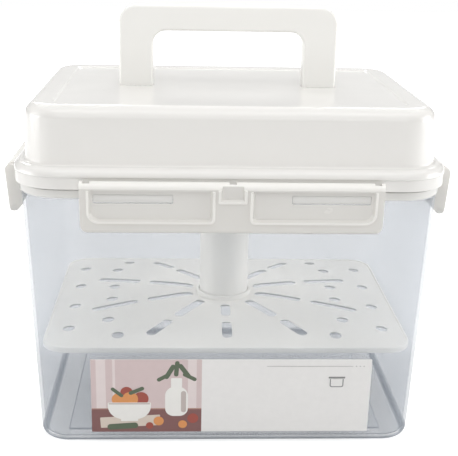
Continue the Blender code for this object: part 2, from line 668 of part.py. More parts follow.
def plate_loop(share, height):
    """The plate's outline drawn in towards its middle, at one height."""
    half_x = BASE_HALF_WIDTH + PLATE_OFFSET
    half_y = BASE_HALF_DEPTH + PLATE_OFFSET
    radius = BASE_CORNER_RADIUS + PLATE_OFFSET
    blend = (1 - share) * half_y * share
    return rounded_loop(half_x * share, half_y * share, min(radius * share + blend, half_y * share), height)


def hub_loop(radius, height):
    """A circle round the post with as many points as the plate's outline."""
    return rounded_loop(radius, radius, radius, height)


def plate_blank():
    """The plate before its holes: rim, crowned web, well and collar, with a stud hole."""
    rim = PLATE_OFFSET
    low = PLATE_HEIGHT - PLATE_RIM_HEIGHT
    web = PLATE_WALL
    well_under = WELL_FLOOR - web
    bore = STUD_RADIUS + SEAT_GAP
    collar = COLLAR_BORE + COLLAR_WALL
    loops = [wall_loop(rim - PLATE_RIM_WALL, low), wall_loop(rim, low), wall_loop(rim, PLATE_HEIGHT),
             wall_loop(rim - PLATE_RIM_WALL, PLATE_HEIGHT)]
    loops += [plate_loop(share, crown_height(share)) for share in CROWN_RING_SHARES]
    loops += [hub_loop(PLATE_WELL_RADIUS, crown_height(PLATE_WELL_RADIUS / BASE_HALF_WIDTH)),
              hub_loop(collar, WELL_FLOOR), hub_loop(collar, WELL_FLOOR + COLLAR_HEIGHT),
              hub_loop(COLLAR_BORE, WELL_FLOOR + COLLAR_HEIGHT), hub_loop(COLLAR_BORE, WELL_FLOOR),
              hub_loop(bore, WELL_FLOOR), hub_loop(bore, well_under), hub_loop(collar, well_under),
              hub_loop(PLATE_WELL_RADIUS, crown_height(PLATE_WELL_RADIUS / BASE_HALF_WIDTH) - web)]
    loops += [plate_loop(share, crown_height(share) - web) for share in reversed(CROWN_RING_SHARES[1:])]
    return loft("press_plate", loops, ring=True)


def build_plate(material):
    """The crowned press plate with its ten rays of slits and its drain holes."""
    plate = plate_blank()
    half_x = BASE_HALF_WIDTH + PLATE_OFFSET
    half_y = BASE_HALF_DEPTH + PLATE_OFFSET
    low = PLATE_HEIGHT - PLATE_RIM_HEIGHT - CUT_OVERRUN
    high = PLATE_HEIGHT + PLATE_CROWN + CUT_OVERRUN
    cutters = []
    for share_x, share_y in HOLE_SHARES:
        for side_x in (-1, 1):
            for side_y in (-1, 1):
                centre = (side_x * share_x * half_x, side_y * share_y * half_y)
                outline = circle(HOLE_RADIUS, HOLE_SIDES, centre=centre)
                cutters.append(prism("hole", outline, low, high, "Z"))
    for angle in SLIT_ANGLES_DEG:
        reach = min(half_x / cos(radians(angle)), half_y / sin(radians(angle)))
        for start_share, end_share in (INNER_SLIT_SHARES[angle], OUTER_SLIT_SHARES[angle]):
            for turn in sorted({angle, 180 - angle, 180 + angle, 360 - angle}):
                cutters.append(build_slit(start_share * reach, end_share * reach, turn, low, high))
    combine(plate, [joined("drains", cutters)], "DIFFERENCE")
    return dress(plate, material)


def build_slit(start, end, turn_deg, low, high):
    """A round-ended cutter along a ray from the post."""
    radius = SLIT_WIDTH / 2
    outline = arc((end - radius, 0), radius, -90, 90, SLIT_STEPS)
    outline += arc((start + radius, 0), radius, 90, 270, SLIT_STEPS)
    return turned(prism("slit", outline, low, high, "Z"), Matrix.Rotation(radians(turn_deg), 4, "Z"))


def build_post(material):
    """The hollow press post, with a stud that snaps through the plate."""
    under = WELL_FLOOR - PLATE_WALL - SEAT_GAP
    head = STUD_RADIUS + STUD_HEAD_STEP
    core = STUD_RADIUS - POST_WALL
    floor = POST_FOOT + POST_FLOOR
    outline = ((core, under - STUD_HEAD_HEIGHT), (STUD_RADIUS, under - STUD_HEAD_HEIGHT), (head, under),
               (STUD_RADIUS, under), (STUD_RADIUS, POST_FOOT), (POST_RADIUS, POST_FOOT),
               (POST_RADIUS, POST_TOP), (POST_BORE, POST_TOP), (POST_BORE, floor), (core, floor))
    return dress(lathe("press_post", outline), material)


def build_bush(material):
    """The bush in the post's mouth: it runs on the guide and stops at its flange."""
    collar_low = POST_TOP + SEAT_GAP
    spigot = POST_BORE - SEAT_GAP
    outline = ((BUSH_BORE, BUSH_FOOT), (spigot, BUSH_FOOT), (spigot, collar_low), (POST_RADIUS, collar_low),
               (POST_RADIUS, collar_low + BUSH_COLLAR_HEIGHT), (BUSH_BORE, collar_low + BUSH_COLLAR_HEIGHT))
    return dress(lathe("post_bush", outline), material)


def build_guide(material):
    """The guide tube on the lid's boss, with the flange that holds the bush."""
    top = CEILING - SEAT_GAP
    stop_top = GUIDE_FOOT + GUIDE_STOP_HEIGHT
    outline = ((GUIDE_BORE, GUIDE_FOOT), (GUIDE_STOP_RADIUS, GUIDE_FOOT), (GUIDE_STOP_RADIUS, stop_top),
               (GUIDE_RADIUS, stop_top), (GUIDE_RADIUS, top), (GUIDE_BORE, top))
    return dress(lathe("press_guide", outline), material)


def build_spring(material):
    """The compression spring between the lid's ceiling and the post's floor."""
    coil_radius = BOSS_BORE - SPRING_CLEARANCE - SPRING_WIRE_RADIUS
    low = POST_FOOT + POST_FLOOR + SEAT_GAP + SPRING_WIRE_RADIUS
    high = CEILING - SEAT_GAP - SPRING_WIRE_RADIUS
    count = SPRING_TURNS * SPRING_STEPS
    curve = bpy.data.curves.new("press_spring", "CURVE")
    curve.dimensions = "3D"
    curve.bevel_depth = SPRING_WIRE_RADIUS
    curve.bevel_resolution = 1
    curve.use_fill_caps = True
    spline = curve.splines.new("POLY")
    spline.points.add(count)
    points = []
    for number in range(count + 1):
        turn = 2 * pi * number / SPRING_STEPS
        height = low + (high - low) * number / count
        points.append(Vector((coil_radius * cos(turn), coil_radius * sin(turn), height)))
        spline.points[number].co = (*points[-1], 1)
    gap = min((a - b).length for a, b in zip(points, points[SPRING_STEPS:])) - 2 * SPRING_WIRE_RADIUS
    print(f"press_spring: least gap between turns {gap:.5f} m")
    wire = bpy.data.objects.new("spring_wire", curve)
    bpy.context.scene.collection.objects.link(wire)
    bpy.context.view_layer.update()
    shaped = wire.evaluated_get(bpy.context.evaluated_depsgraph_get())
    spring = bpy.data.objects.new("press_spring", bpy.data.meshes.new_from_object(shaped))
    bpy.context.scene.collection.objects.link(spring)
    bpy.data.objects.remove(wire, do_unlink=True)
    return dress(spring, material)


def main():
    """Builds every piece of the container at its place."""
    clear_scene()
    clear_plastic = make_material("clear_plastic", (0.80, 0.84, 0.88), 0.12, alpha=0.35)
    lid_plastic = make_material("lid_plastic", (0.90, 0.89, 0.87), 0.22)
    handle_plastic = make_material("handle_plastic", (0.90, 0.89, 0.87), 0.32)
    flap_plastic = make_material("flap_plastic", (0.88, 0.87, 0.84), 0.30)
    press_plastic = make_material("press_plastic", (0.87, 0.86, 0.83), 0.35)
    seal_silicone = make_material("seal_silicone", (0.85, 0.85, 0.84), 0.55)
    spring_steel = make_material("spring_steel", (0.60, 0.60, 0.62), 0.30)
    spring_steel.node_tree.nodes["Principled BSDF"].inputs["Metallic"].default_value = 1.0
    label_film = make_material("label_film", (0.93, 0.93, 0.92), 0.45)
    build_tub(clear_plastic)
    build_label(label_film)
    build_lid_shell(lid_plastic)
    build_gasket(seal_silicone)
    build_handle(handle_plastic)
    place_flaps(flap_plastic)
    build_plate(press_plastic)
    build_post(press_plastic)
    build_bush(press_plastic)
    build_guide(press_plastic)
    build_spring(spring_steel)


main()
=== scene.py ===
"""Dresses the fermentation container: clear tub, domed white lid, lock flaps and a sprung press.

Everything is in metres, +Z up, with the front towards -Y and the origin under the tub's middle.
"""
import logging
from dataclasses import dataclass
from enum import Enum
from math import acos, asin, ceil, cos, pi, radians, sin, sqrt, tan
from typing import ClassVar, Iterable, Optional, Sequence, Union

import bmesh
import bpy
from mathutils import Matrix, Vector


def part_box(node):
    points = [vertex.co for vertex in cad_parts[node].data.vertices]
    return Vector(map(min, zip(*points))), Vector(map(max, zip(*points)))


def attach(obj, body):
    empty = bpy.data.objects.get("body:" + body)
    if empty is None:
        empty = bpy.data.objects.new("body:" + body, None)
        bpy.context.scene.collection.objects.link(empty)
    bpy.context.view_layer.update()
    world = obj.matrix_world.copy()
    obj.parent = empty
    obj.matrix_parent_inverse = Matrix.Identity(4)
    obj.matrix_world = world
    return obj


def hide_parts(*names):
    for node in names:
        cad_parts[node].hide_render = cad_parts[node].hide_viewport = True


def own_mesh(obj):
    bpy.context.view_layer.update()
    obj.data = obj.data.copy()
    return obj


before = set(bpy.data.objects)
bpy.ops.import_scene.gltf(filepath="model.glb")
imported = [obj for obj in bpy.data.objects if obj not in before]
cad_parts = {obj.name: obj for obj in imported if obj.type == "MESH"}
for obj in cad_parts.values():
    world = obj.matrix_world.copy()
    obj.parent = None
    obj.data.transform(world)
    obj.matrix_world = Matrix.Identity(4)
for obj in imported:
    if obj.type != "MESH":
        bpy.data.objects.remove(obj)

LOG = logging.getLogger("fermentation_container")

# Distances between a cutter and what it cuts, and the play between two pieces.
WELD = 0.000001
CUTTER_GAP = 0.0001
SHALLOW_OVERRUN = 0.0002
OVERRUN = 0.002
PLAY = 0.0003

# Radii that a mould leaves on edges, from the crispest to the fullest.
TINY_ROUND = 0.0002
CRISP_ROUND = 0.0003
EASED_ROUND = 0.0004
SOFT_ROUND = 0.0006
FULL_ROUND = 0.0008

# How finely round forms are divided, and the angle from which an edge is shaded sharp.
CORNER_STEPS = 16
ROUND_STEPS = 96
FACET = 0.0006
MOST_FACETS = 12
SHARP_DEG = 32.0

Colour = tuple[float, float, float]
Pair = tuple[float, float]
Place = tuple[float, float, float]
Radii = tuple[float, float, float, float]


class Cut(Enum):
    """How one solid is combined with another."""

    ADD = "UNION"
    REMOVE = "DIFFERENCE"
    KEEP = "INTERSECT"


class Along(Enum):
    """The axis that a prism runs along."""

    X = 0
    Y = 1
    Z = 2

    @property
    def swap(self) -> Matrix:
        """Works out the matrix that trades this axis with Y.

        Returns:
            The matrix, which is plain for Y itself.
        """
        swap = Matrix.Identity(4)
        swap[1], swap[self.value] = swap[self.value].copy(), swap[1].copy()
        return swap


class Side(Enum):
    """A side of the container and how far a front piece turns to reach it, in degrees."""

    FRONT = 0
    RIGHT = 90
    BACK = 180
    LEFT = 270

    @property
    def word(self) -> str:
        """The side's name in lower case."""
        return self.name.lower()


@dataclass(frozen=True)
class Turn:
    """A corner of an outline: where it is and the radius that rounds it."""

    across: float
    up: float
    radius: float = 0.0


def round_off(bm: bmesh.types.BMesh, geom: list, width: float, steps: int, affect: str = "EDGES",
              clamped: bool = True) -> None:
    """Bevels vertices or edges to a circular rounding.

    Args:
        bm: The mesh.
        geom: The vertices or edges.
        width: The bevel's offset.
        steps: Facets round it.
        affect: VERTICES or EDGES.
        clamped: Whether the rounding stops where it would overlap another.
    """
    bmesh.ops.bevel(bm, geom=geom, offset=width, offset_type="OFFSET", affect=affect, segments=steps,
                    profile=0.5, material=-1, clamp_overlap=clamped)


def outline_face(turns: Sequence[Turn]) -> bmesh.types.BMesh:
    """Draws a closed outline in the XZ plane as one face with rounded corners.

    Args:
        turns: The corners in order, each with its own radius.

    Returns:
        A bmesh that holds the face.
    """
    bm = bmesh.new()
    points = [Vector((turn.across, 0.0, turn.up)) for turn in turns]
    corners = [bm.verts.new(point) for point in points]
    bm.faces.new(corners)
    for index, (turn, corner) in enumerate(zip(turns, corners)):
        if turn.radius <= 0.0:
            continue
        before = points[index - 1] - points[index]
        after = points[(index + 1) % len(points)] - points[index]
        angle = before.angle(after)
        steps = max(2, min(MOST_FACETS, ceil(turn.radius * (pi - angle) / FACET)))
        round_off(bm, [corner], turn.radius / tan(angle / 2), steps, "VERTICES", clamped=False)
    bmesh.ops.remove_doubles(bm, verts=bm.verts[:], dist=WELD)
    return bm


def box_turns(low: Pair, high: Pair, radii: Sequence[float] = (0.0, 0.0, 0.0, 0.0)) -> list[Turn]:
    """Lists a rectangle's corners from the lower left round, each with its radius."""
    corners = ((low[0], low[1]), (high[0], low[1]), (high[0], high[1]), (low[0], high[1]))
    return [Turn(*corner, radius) for corner, radius in zip(corners, radii)]


def round_turns(radius: float) -> list[Turn]:
    """Lists the corners of a circle round the origin."""
    return box_turns((-radius, -radius), (radius, radius), (radius,) * 4)


def push(bm: bmesh.types.BMesh, run: Sequence[float]) -> bmesh.types.BMesh:
    """Extrudes every face of a flat outline into a solid.

    Args:
        bm: The outline's mesh.
        run: How far and which way it is pushed.

    Returns:
        The same mesh, closed and facing outwards.
    """
    grown = bmesh.ops.extrude_face_region(bm, geom=bm.faces[:])["geom"]
    moved = [item for item in grown if isinstance(item, bmesh.types.BMVert)]
    bmesh.ops.translate(bm, verts=moved, vec=run)
    bmesh.ops.recalc_face_normals(bm, faces=bm.faces[:])
    return bm


def spin_full(turns: Sequence[Turn], steps: int = ROUND_STEPS) -> bmesh.types.BMesh:
    """Turns a closed outline of radius and height round the Z axis.

    Args:
        turns: The outline's corners; across is the radius.
        steps: Facets round the axis.

    Returns:
        The closed solid.
    """
    bm = outline_face(turns)
    bmesh.ops.delete(bm, geom=bm.faces[:], context="FACES_ONLY")
    bmesh.ops.spin(bm, geom=bm.verts[:] + bm.edges[:], cent=(0, 0, 0), axis=(0, 0, 1), dvec=(0, 0, 0),
                   angle=2 * pi, steps=steps, use_merge=True)
    bmesh.ops.remove_doubles(bm, verts=bm.verts[:], dist=WELD)
    bmesh.ops.recalc_face_normals(bm, faces=bm.faces[:])
    return bm


def soften_edges(bm: bmesh.types.BMesh, width: float, above_deg: float = 50.0, steps: int = 3) -> bmesh.types.BMesh:
    """Rounds every edge that is sharper than an angle.

    Args:
        bm: The solid.
        width: The rounding's width.
        above_deg: The angle between faces from which an edge is rounded.
        steps: Facets round the edge.

    Returns:
        The same mesh.
    """
    sharp = [edge for edge in bm.edges if len(edge.link_faces) == 2
             and edge.calc_face_angle(0.0) > radians(above_deg)]
    round_off(bm, sharp, width, steps)
    return bm


def link_object(name: str, data: bpy.types.ID) -> bpy.types.Object:
    """Makes an object at the origin and links it to the scene.

    Args:
        name: The object's name.
        data: Its mesh, curve, lamp or camera.

    Returns:
        The object.
    """
    made = bpy.data.objects.new(name, data)
    bpy.context.scene.collection.objects.link(made)
    return made


def make_piece(bm: bmesh.types.BMesh, name: str) -> bpy.types.Object:
    """Writes a bmesh to a new object at the origin.

    Args:
        bm: The finished solid, which is freed.
        name: The piece's name.

    Returns:
        The object, linked to the scene.
    """
    mesh = bpy.data.meshes.new(name)
    bm.to_mesh(mesh)
    bm.free()
    return link_object(name, mesh)


def solid(turns: Sequence[Turn], start: float, end: float, along: Along = Along.Y, name: str = "tool",
          soft: float = 0.0) -> bpy.types.Object:
    """Makes a prism from an outline.

    Args:
        turns: The outline's corners, in the plane that the run is square to.
        start: Where the prism starts along its run.
        end: Where it ends.
        along: The axis that it runs along.
        name: The object's name.
        soft: Width of the rounding on its sharp edges.

    Returns:
        The prism's object.
    """
    bm = push(outline_face(turns), (0.0, end - start, 0.0))
    bmesh.ops.translate(bm, verts=bm.verts[:], vec=(0.0, start, 0.0))
    if along is not Along.Y:
        bmesh.ops.transform(bm, matrix=along.swap, verts=bm.verts[:])
        bmesh.ops.recalc_face_normals(bm, faces=bm.faces[:])
    if soft:
        soften_edges(bm, soft)
    return make_piece(bm, name)


def block(low: Sequence[float], high: Sequence[float], name: str = "tool") -> bpy.types.Object:
    """Makes a plain cutter or boss between two corners."""
    return solid(box_turns((low[0], low[2]), (high[0], high[2])), low[1], high[1], name=name)


def combine(piece: bpy.types.Object, others: Iterable[bpy.types.Object], cut: Cut) -> bpy.types.Object:
    """Combines a piece with others by exact Booleans, one after another, and removes the others.

    Args:
        piece: The piece that stays.
        others: The solids that it is combined with.
        cut: How they are combined.

    Returns:
        The piece with its new mesh.
    """
    tools = list(others)
    for tool in tools:
        step = piece.modifiers.new(cut.name.title(), "BOOLEAN")
        step.operation = cut.value
        step.solver = "EXACT"
        step.object = tool
    bake(piece)
    for tool in tools:
        bpy.data.objects.remove(tool, do_unlink=True)
    return piece


def bake(piece: bpy.types.Object) -> None:
    """Replaces a piece's mesh with the one that its modifiers make.

    Args:
        piece: The piece, whose modifiers are removed.
    """
    bpy.context.view_layer.update()
    shaped = piece.evaluated_get(bpy.context.evaluated_depsgraph_get())
    mesh = bpy.data.meshes.new_from_object(shaped)
    piece.modifiers.clear()
    piece.data = mesh


def soften(piece: bpy.types.Object, width: float, above_deg: float, steps: int) -> bpy.types.Object:
    """Rounds a finished piece's sharp edges with a baked Bevel.

    Args:
        piece: The piece.
        width: The rounding's width.
        above_deg: The angle between faces from which an edge is rounded.
        steps: Facets round the edge.

    Returns:
        The same piece.
    """
    rounding = piece.modifiers.new("Soft edges", "BEVEL")
    rounding.width = width
    rounding.segments = steps
    rounding.profile = 0.5
    rounding.limit_method = "ANGLE"
    rounding.angle_limit = radians(above_deg)
    bake(piece)
    return piece


def place(piece: bpy.types.Object, matrix: Matrix) -> bpy.types.Object:
    """Moves a piece's mesh, so that its object stays at the origin."""
    piece.data.transform(matrix)
    return piece


@dataclass(frozen=True)
class Footprint:
    """The rounded rectangle that the tub's base follows; each wall is an offset of it."""

    half_width: float = 0.1101
    half_depth: float = 0.0804
    corner_radius: float = 0.0170
    draft_deg: float = 2.46

    @property
    def slope(self) -> float:
        """How far the wall leans out for each metre of height."""
        return tan(radians(self.draft_deg))

    def sweep(self, turns: Sequence[Turn], steps: int = CORNER_STEPS, capped: bool = False) -> bmesh.types.BMesh:
        """Carries an outline of offset and height round the rectangle.

        Args:
            turns: The outline's corners; across is the offset from the base's edge.
            steps: Facets round each corner.
            capped: Whether the outline's innermost ends are closed by a flat face each.

        Returns:
            The closed shell.
        """
        centre_x = self.half_width - self.corner_radius
        centre_y = self.half_depth - self.corner_radius
        bm = outline_face(turns)
        bmesh.ops.delete(bm, geom=bm.faces[:], context="FACES_ONLY")
        if capped:
            inmost = min(vert.co.x for vert in bm.verts) + WELD
            ends = [edge for edge in bm.edges if all(vert.co.x < inmost for vert in edge.verts)]
            bmesh.ops.delete(bm, geom=ends, context="EDGES")
        bmesh.ops.translate(bm, verts=bm.verts[:], vec=(self.half_width, centre_y, 0.0))
        row = bm.verts[:] + bm.edges[:]
        legs = (((centre_x, centre_y), (-2 * centre_x, 0.0)), ((-centre_x, centre_y), (0.0, -2 * centre_y)),
                ((-centre_x, -centre_y), (2 * centre_x, 0.0)), ((centre_x, -centre_y), (0.0, 2 * centre_y)))
        for middle, run in legs:
            spun = bmesh.ops.spin(bm, geom=row, cent=(*middle, 0.0), axis=(0, 0, 1), dvec=(0, 0, 0),
                                  angle=pi / 2, steps=steps)
            edges = [item for item in spun["geom_last"] if isinstance(item, bmesh.types.BMEdge)]
            grown = bmesh.ops.extrude_edge_only(bm, edges=edges)["geom"]
            verts = {item for item in grown if isinstance(item, bmesh.types.BMVert)}
            bmesh.ops.translate(bm, verts=list(verts), vec=(*run, 0.0))
            row = list(verts) + [edge for edge in bm.edges if edge.verts[0] in verts and edge.verts[1] in verts]
        bmesh.ops.remove_doubles(bm, verts=bm.verts[:], dist=WELD)
        if capped:
            bmesh.ops.holes_fill(bm, edges=[edge for edge in bm.edges if edge.is_boundary], sides=0)
        bmesh.ops.recalc_face_normals(bm, faces=bm.faces[:])
        return bm


def start_material(name: str) -> tuple[bpy.types.Material, bpy.types.NodeTree, bpy.types.Node]:
    """Starts a material with nodes.

    Args:
        name: The material's name.

    Returns:
        The material, its node tree and its main shader.
    """
    material = bpy.data.materials.new(name)
    material.use_nodes = True
    return material, material.node_tree, material.node_tree.nodes["Principled BSDF"]


@dataclass(frozen=True)
class MouldedFinish:
    """Opaque moulded plastic, with a faint drift of tone, a fine grain and rubbed patches."""

    name: str
    colour: Colour
    roughness: float
    drift: float = 0.006
    drift_pitch: float = 0.060
    drift_detail: float = 2.0
    rub: float = 0.015
    rub_fineness: float = 3.0
    rub_detail: float = 4.0
    grain_pitch: float = 0.0009
    grain_depth: float = 0.0000015
    grain_detail: float = 3.0
    wave_pitch: float = 0.030
    wave_depth: float = 0.000010
    wave_detail: float = 1.0
    glow: float = 0.0
    glow_reach: float = 0.003
    glow_spread: Colour = (1.0, 1.0, 1.0)
    metallic: float = 0.0

    def material(self) -> bpy.types.Material:
        """Builds the finish.

        Returns:
            The material, which is the one already made where there is one.
        """
        found = bpy.data.materials.get(self.name)
        if found:
            return found
        material, tree, shader = start_material(self.name)
        shader.inputs["Metallic"].default_value = self.metallic
        shader.inputs["Subsurface Weight"].default_value = self.glow
        shader.inputs["Subsurface Scale"].default_value = self.glow_reach
        shader.inputs["Subsurface Radius"].default_value = self.glow_spread
        place_at = tree.nodes.new("ShaderNodeTexCoord").outputs["Object"]
        tone = add_noise(tree, place_at, self.drift_pitch, self.drift_detail)
        dark, light = [tuple(min(1.0, part * share) for part in self.colour)
                       for share in (1 - self.drift, 1 + self.drift)]
        tree.links.new(add_blend(tree, tone, dark, light), shader.inputs["Base Color"])
        patches = add_noise(tree, place_at, self.drift_pitch / self.rub_fineness, self.rub_detail)
        tree.links.new(add_range(tree, patches, self.roughness - self.rub, self.roughness + self.rub),
                       shader.inputs["Roughness"])
        wave = add_bump(tree, add_noise(tree, place_at, self.wave_pitch, self.wave_detail), self.wave_depth)
        grain = add_bump(tree, add_noise(tree, place_at, self.grain_pitch, self.grain_detail), self.grain_depth,
                         wave)
        tree.links.new(grain, shader.inputs["Normal"])
        return material


def add_noise(tree: bpy.types.NodeTree, place_at: bpy.types.NodeSocket, pitch: float,
              detail: float) -> bpy.types.NodeSocket:
    """Adds a noise.

    Args:
        tree: The material's nodes.
        place_at: The coordinates.
        pitch: How far apart its features lie, in metres.
        detail: How many finer layers it has.

    Returns:
        The noise's value.
    """
    noise = tree.nodes.new("ShaderNodeTexNoise")
    noise.inputs["Scale"].default_value = 1.0 / pitch
    noise.inputs["Detail"].default_value = detail
    tree.links.new(place_at, noise.inputs["Vector"])
    return noise.outputs["Fac"]


def add_range(tree: bpy.types.NodeTree, value: bpy.types.NodeSocket, low: float, high: float,
              start: float = 0.3, stop: float = 0.7) -> bpy.types.NodeSocket:
    """Adds a map from one range to another, by default from the middle of a noise.

    Args:
        tree: The material's nodes.
        value: The value that is mapped.
        low: The result at the start.
        high: The result at the stop.
        start: The value where the map starts.
        stop: The value where it stops.

    Returns:
        The result.
    """
    ranged = tree.nodes.new("ShaderNodeMapRange")
    ranged.inputs["From Min"].default_value = start
    ranged.inputs["From Max"].default_value = stop
    ranged.inputs["To Min"].default_value = low
    ranged.inputs["To Max"].default_value = high
    tree.links.new(value, ranged.inputs["Value"])
    return ranged.outputs["Result"]


def add_blend(tree: bpy.types.NodeTree, share: bpy.types.NodeSocket, first: Colour,
              second: Colour) -> bpy.types.NodeSocket:
    """Adds a blend of two colours.

    Args:
        tree: The material's nodes.
        share: The share of the second colour.
        first: The first colour.
        second: The second colour.

    Returns:
        The blended colour.
    """
    mix = tree.nodes.new("ShaderNodeMix")
    mix.data_type = "RGBA"
    mix.inputs[6].default_value = (*first, 1.0)
    mix.inputs[7].default_value = (*second, 1.0)
    tree.links.new(share, mix.inputs["Factor"])
    return mix.outputs[2]


def add_bump(tree: bpy.types.NodeTree, height: bpy.types.NodeSocket, depth: float,
             under: Optional[bpy.types.NodeSocket] = None) -> bpy.types.NodeSocket:
    """Adds a bump of a real depth.

    Args:
        tree: The material's nodes.
        height: The pattern, from 0 to 1.
        depth: What 1 stands for, in metres.
        under: The normal of a bump that this one lies on, where there is one.

    Returns:
        The bumped normal.
    """
    bump = tree.nodes.new("ShaderNodeBump")
    bump.inputs["Distance"].default_value = depth
    tree.links.new(height, bump.inputs["Height"])
    if under is not None:
        tree.links.new(under, bump.inputs["Normal"])
    return bump.outputs["Normal"]


@dataclass(frozen=True)
class ClearFinish:
    """Milky clear plastic: it lets most light straight through and scatters the rest onwards; its foot carries
    painted shade.
    """

    name: str
    colour: Colour
    # Painted shade: the foot's darker milk colour and extra cover stand in for the dark refraction and contact
    # shadow at the tub's bottom edge, and partly for its thicker plastic.
    foot_shade_colour: Colour
    rim_colour: Colour
    ior: float = 1.49
    roughness: float = 0.10
    facing_cover: float = 0.26
    edge_cover: float = 0.36
    edge_blend: float = 0.35
    rim_above: float = 0.1513
    rim_blend: float = 0.0004
    rim_cover: float = 0.60
    foot_below: float = 0.0050
    foot_blend: float = 0.5
    foot_shade_cover: float = 0.65
    level_from: float = 0.80
    level_to: float = 0.97
    gloss: float = 0.45
    rim_gloss: float = 0.90
    lighting_share: float = 0.15
    cloud: float = 0.01
    cloud_pitch: float = 0.045
    cloud_detail: float = 2.0
    wave_detail: float = 1.0
    wave_depth: float = 0.00002

    def material(self) -> bpy.types.Material:
        """Builds the finish.

        Returns:
            The material.
        """
        material, tree, shader = start_material(self.name)
        shader.inputs["IOR"].default_value = self.ior
        shader.inputs["Roughness"].default_value = self.roughness
        place_at = tree.nodes.new("ShaderNodeTexCoord").outputs["Object"]
        split = tree.nodes.new("ShaderNodeSeparateXYZ")
        tree.links.new(place_at, split.inputs[0])
        rim = add_range(tree, split.outputs["Z"], 0.0, 1.0, self.rim_above - self.rim_blend, self.rim_above)
        facing = tree.nodes.new("ShaderNodeSeparateXYZ")
        tree.links.new(tree.nodes.new("ShaderNodeNewGeometry").outputs["Normal"], facing.inputs[0])
        upright = add_math(tree, "MULTIPLY", facing.outputs["Z"], facing.outputs["Z"])
        # Painted shade mask: 1 low on the tub's leaning and rounded faces, 0 above the foot and on its level floor.
        foot = add_math(tree, "MULTIPLY",
                        add_range(tree, split.outputs["Z"], 1.0, 0.0, self.foot_below * self.foot_blend,
                                  self.foot_below),
                        add_range(tree, upright, 1.0, 0.0, self.level_from, self.level_to))
        onward = tree.nodes.new("ShaderNodeBsdfTranslucent")
        # The foot's translucent colour is darkened here: painted shade.
        tree.links.new(add_blend(tree, foot, self.colour, self.foot_shade_colour), onward.inputs["Color"])
        tree.links.new(add_blend(tree, rim, self.colour, self.rim_colour), shader.inputs["Base Color"])
        share = add_range(tree, rim, self.gloss, self.rim_gloss, 0.0, 1.0)
        milk = add_shader_mix(tree, share, onward.outputs[0], shader.outputs[0])
        clear = tree.nodes.new("ShaderNodeBsdfTransparent")
        body = add_shader_mix(tree, self.cover(tree, place_at, rim, foot), clear.outputs[0], milk)
        tree.links.new(body, tree.nodes["Material Output"].inputs["Surface"])
        wave = add_bump(tree, add_noise(tree, place_at, self.cloud_pitch, self.wave_detail), self.wave_depth)
        tree.links.new(wave, shader.inputs["Normal"])
        return material

    def cover(self, tree: bpy.types.NodeTree, place_at: bpy.types.NodeSocket, rim: bpy.types.NodeSocket,
              foot: bpy.types.NodeSocket) -> bpy.types.NodeSocket:
        """Adds how much the wall hides, and less of it for the light that shines through onto what is inside.

        Args:
            tree: The material's nodes.
            place_at: The object coordinates.
            rim: 1 in the thick band at the rim, 0 below it.
            foot: 1 where the foot's painted shade falls, 0 above its fillet.

        Returns:
            The share of light that doesn't go straight through, more at a grazing angle.
        """
        weight = tree.nodes.new("ShaderNodeLayerWeight")
        weight.inputs["Blend"].default_value = self.edge_blend
        base = add_range(tree, weight.outputs["Facing"], self.facing_cover, self.edge_cover, 0.0, 1.0)
        clouds = add_noise(tree, place_at, self.cloud_pitch, self.cloud_detail)
        drift = add_range(tree, clouds, -self.cloud, self.cloud)
        # The rim's thicker band plus the foot's painted shade.
        thick = add_math(tree, "ADD", add_range(tree, rim, 0.0, self.rim_cover, 0.0, 1.0),
                         add_range(tree, foot, 0.0, self.foot_shade_cover, 0.0, 1.0))
        whole = add_math(tree, "ADD", add_math(tree, "ADD", base, drift), thick)
        lighting = tree.nodes.new("ShaderNodeLightPath").outputs["Is Shadow Ray"]
        return add_math(tree, "MULTIPLY", whole, add_range(tree, lighting, 1.0, self.lighting_share, 0.0, 1.0))


def add_shader_mix(tree: bpy.types.NodeTree, share: bpy.types.NodeSocket, first: bpy.types.NodeSocket,
                   second: bpy.types.NodeSocket) -> bpy.types.NodeSocket:
    """Adds a mix of two shaders.

    Args:
        tree: The material's nodes.
        share: The share of the second shader.
        first: The first shader.
        second: The second shader.

    Returns:
        The mixed shader.
    """
    mix = tree.nodes.new("ShaderNodeMixShader")
    tree.links.new(share, mix.inputs[0])
    tree.links.new(first, mix.inputs[1])
    tree.links.new(second, mix.inputs[2])
    return mix.outputs[0]


def add_math(tree: bpy.types.NodeTree, operation: str, first: bpy.types.NodeSocket,
             second: bpy.types.NodeSocket) -> bpy.types.NodeSocket:
    """Adds a calculation with two values, which keeps the result between 0 and 1.

    Args:
        tree: The material's nodes.
        operation: Blender's name for the calculation, such as ADD or MULTIPLY.
        first: The first value.
        second: The second value.

    Returns:
        The result.
    """
    step = tree.nodes.new("ShaderNodeMath")
    step.operation = operation
    step.use_clamp = True
    tree.links.new(first, step.inputs[0])
    tree.links.new(second, step.inputs[1])
    return step.outputs[0]


Finish = Union[MouldedFinish, ClearFinish]

# The second colour is the foot's painted shade.
CLEAR_WALL = ClearFinish("clear_wall", (0.45, 0.485, 0.53), (0.26, 0.275, 0.30), (0.80, 0.79, 0.76))
LID_GLOSS = MouldedFinish("lid_gloss", (0.740, 0.728, 0.704), 0.16, glow=0.25)
# Lighter than the lid's white: partly painted light, standing in for the stronger light that falls on the handle.
HANDLE_SATIN = MouldedFinish("handle_satin", (0.820, 0.812, 0.782), 0.30, grain_depth=0.000003)
FLAP_SATIN = MouldedFinish("flap_satin", (0.680, 0.665, 0.634), 0.26, grain_depth=0.000002, glow=0.25)
# Painted highlight: a lighter copy of the flap's plastic for the bead tops and the barrel's upper half.
FLAP_PAINTED_HIGHLIGHT = MouldedFinish("flap_painted_highlight", (0.790, 0.776, 0.742), 0.26, grain_depth=0.000002, glow=0.25)
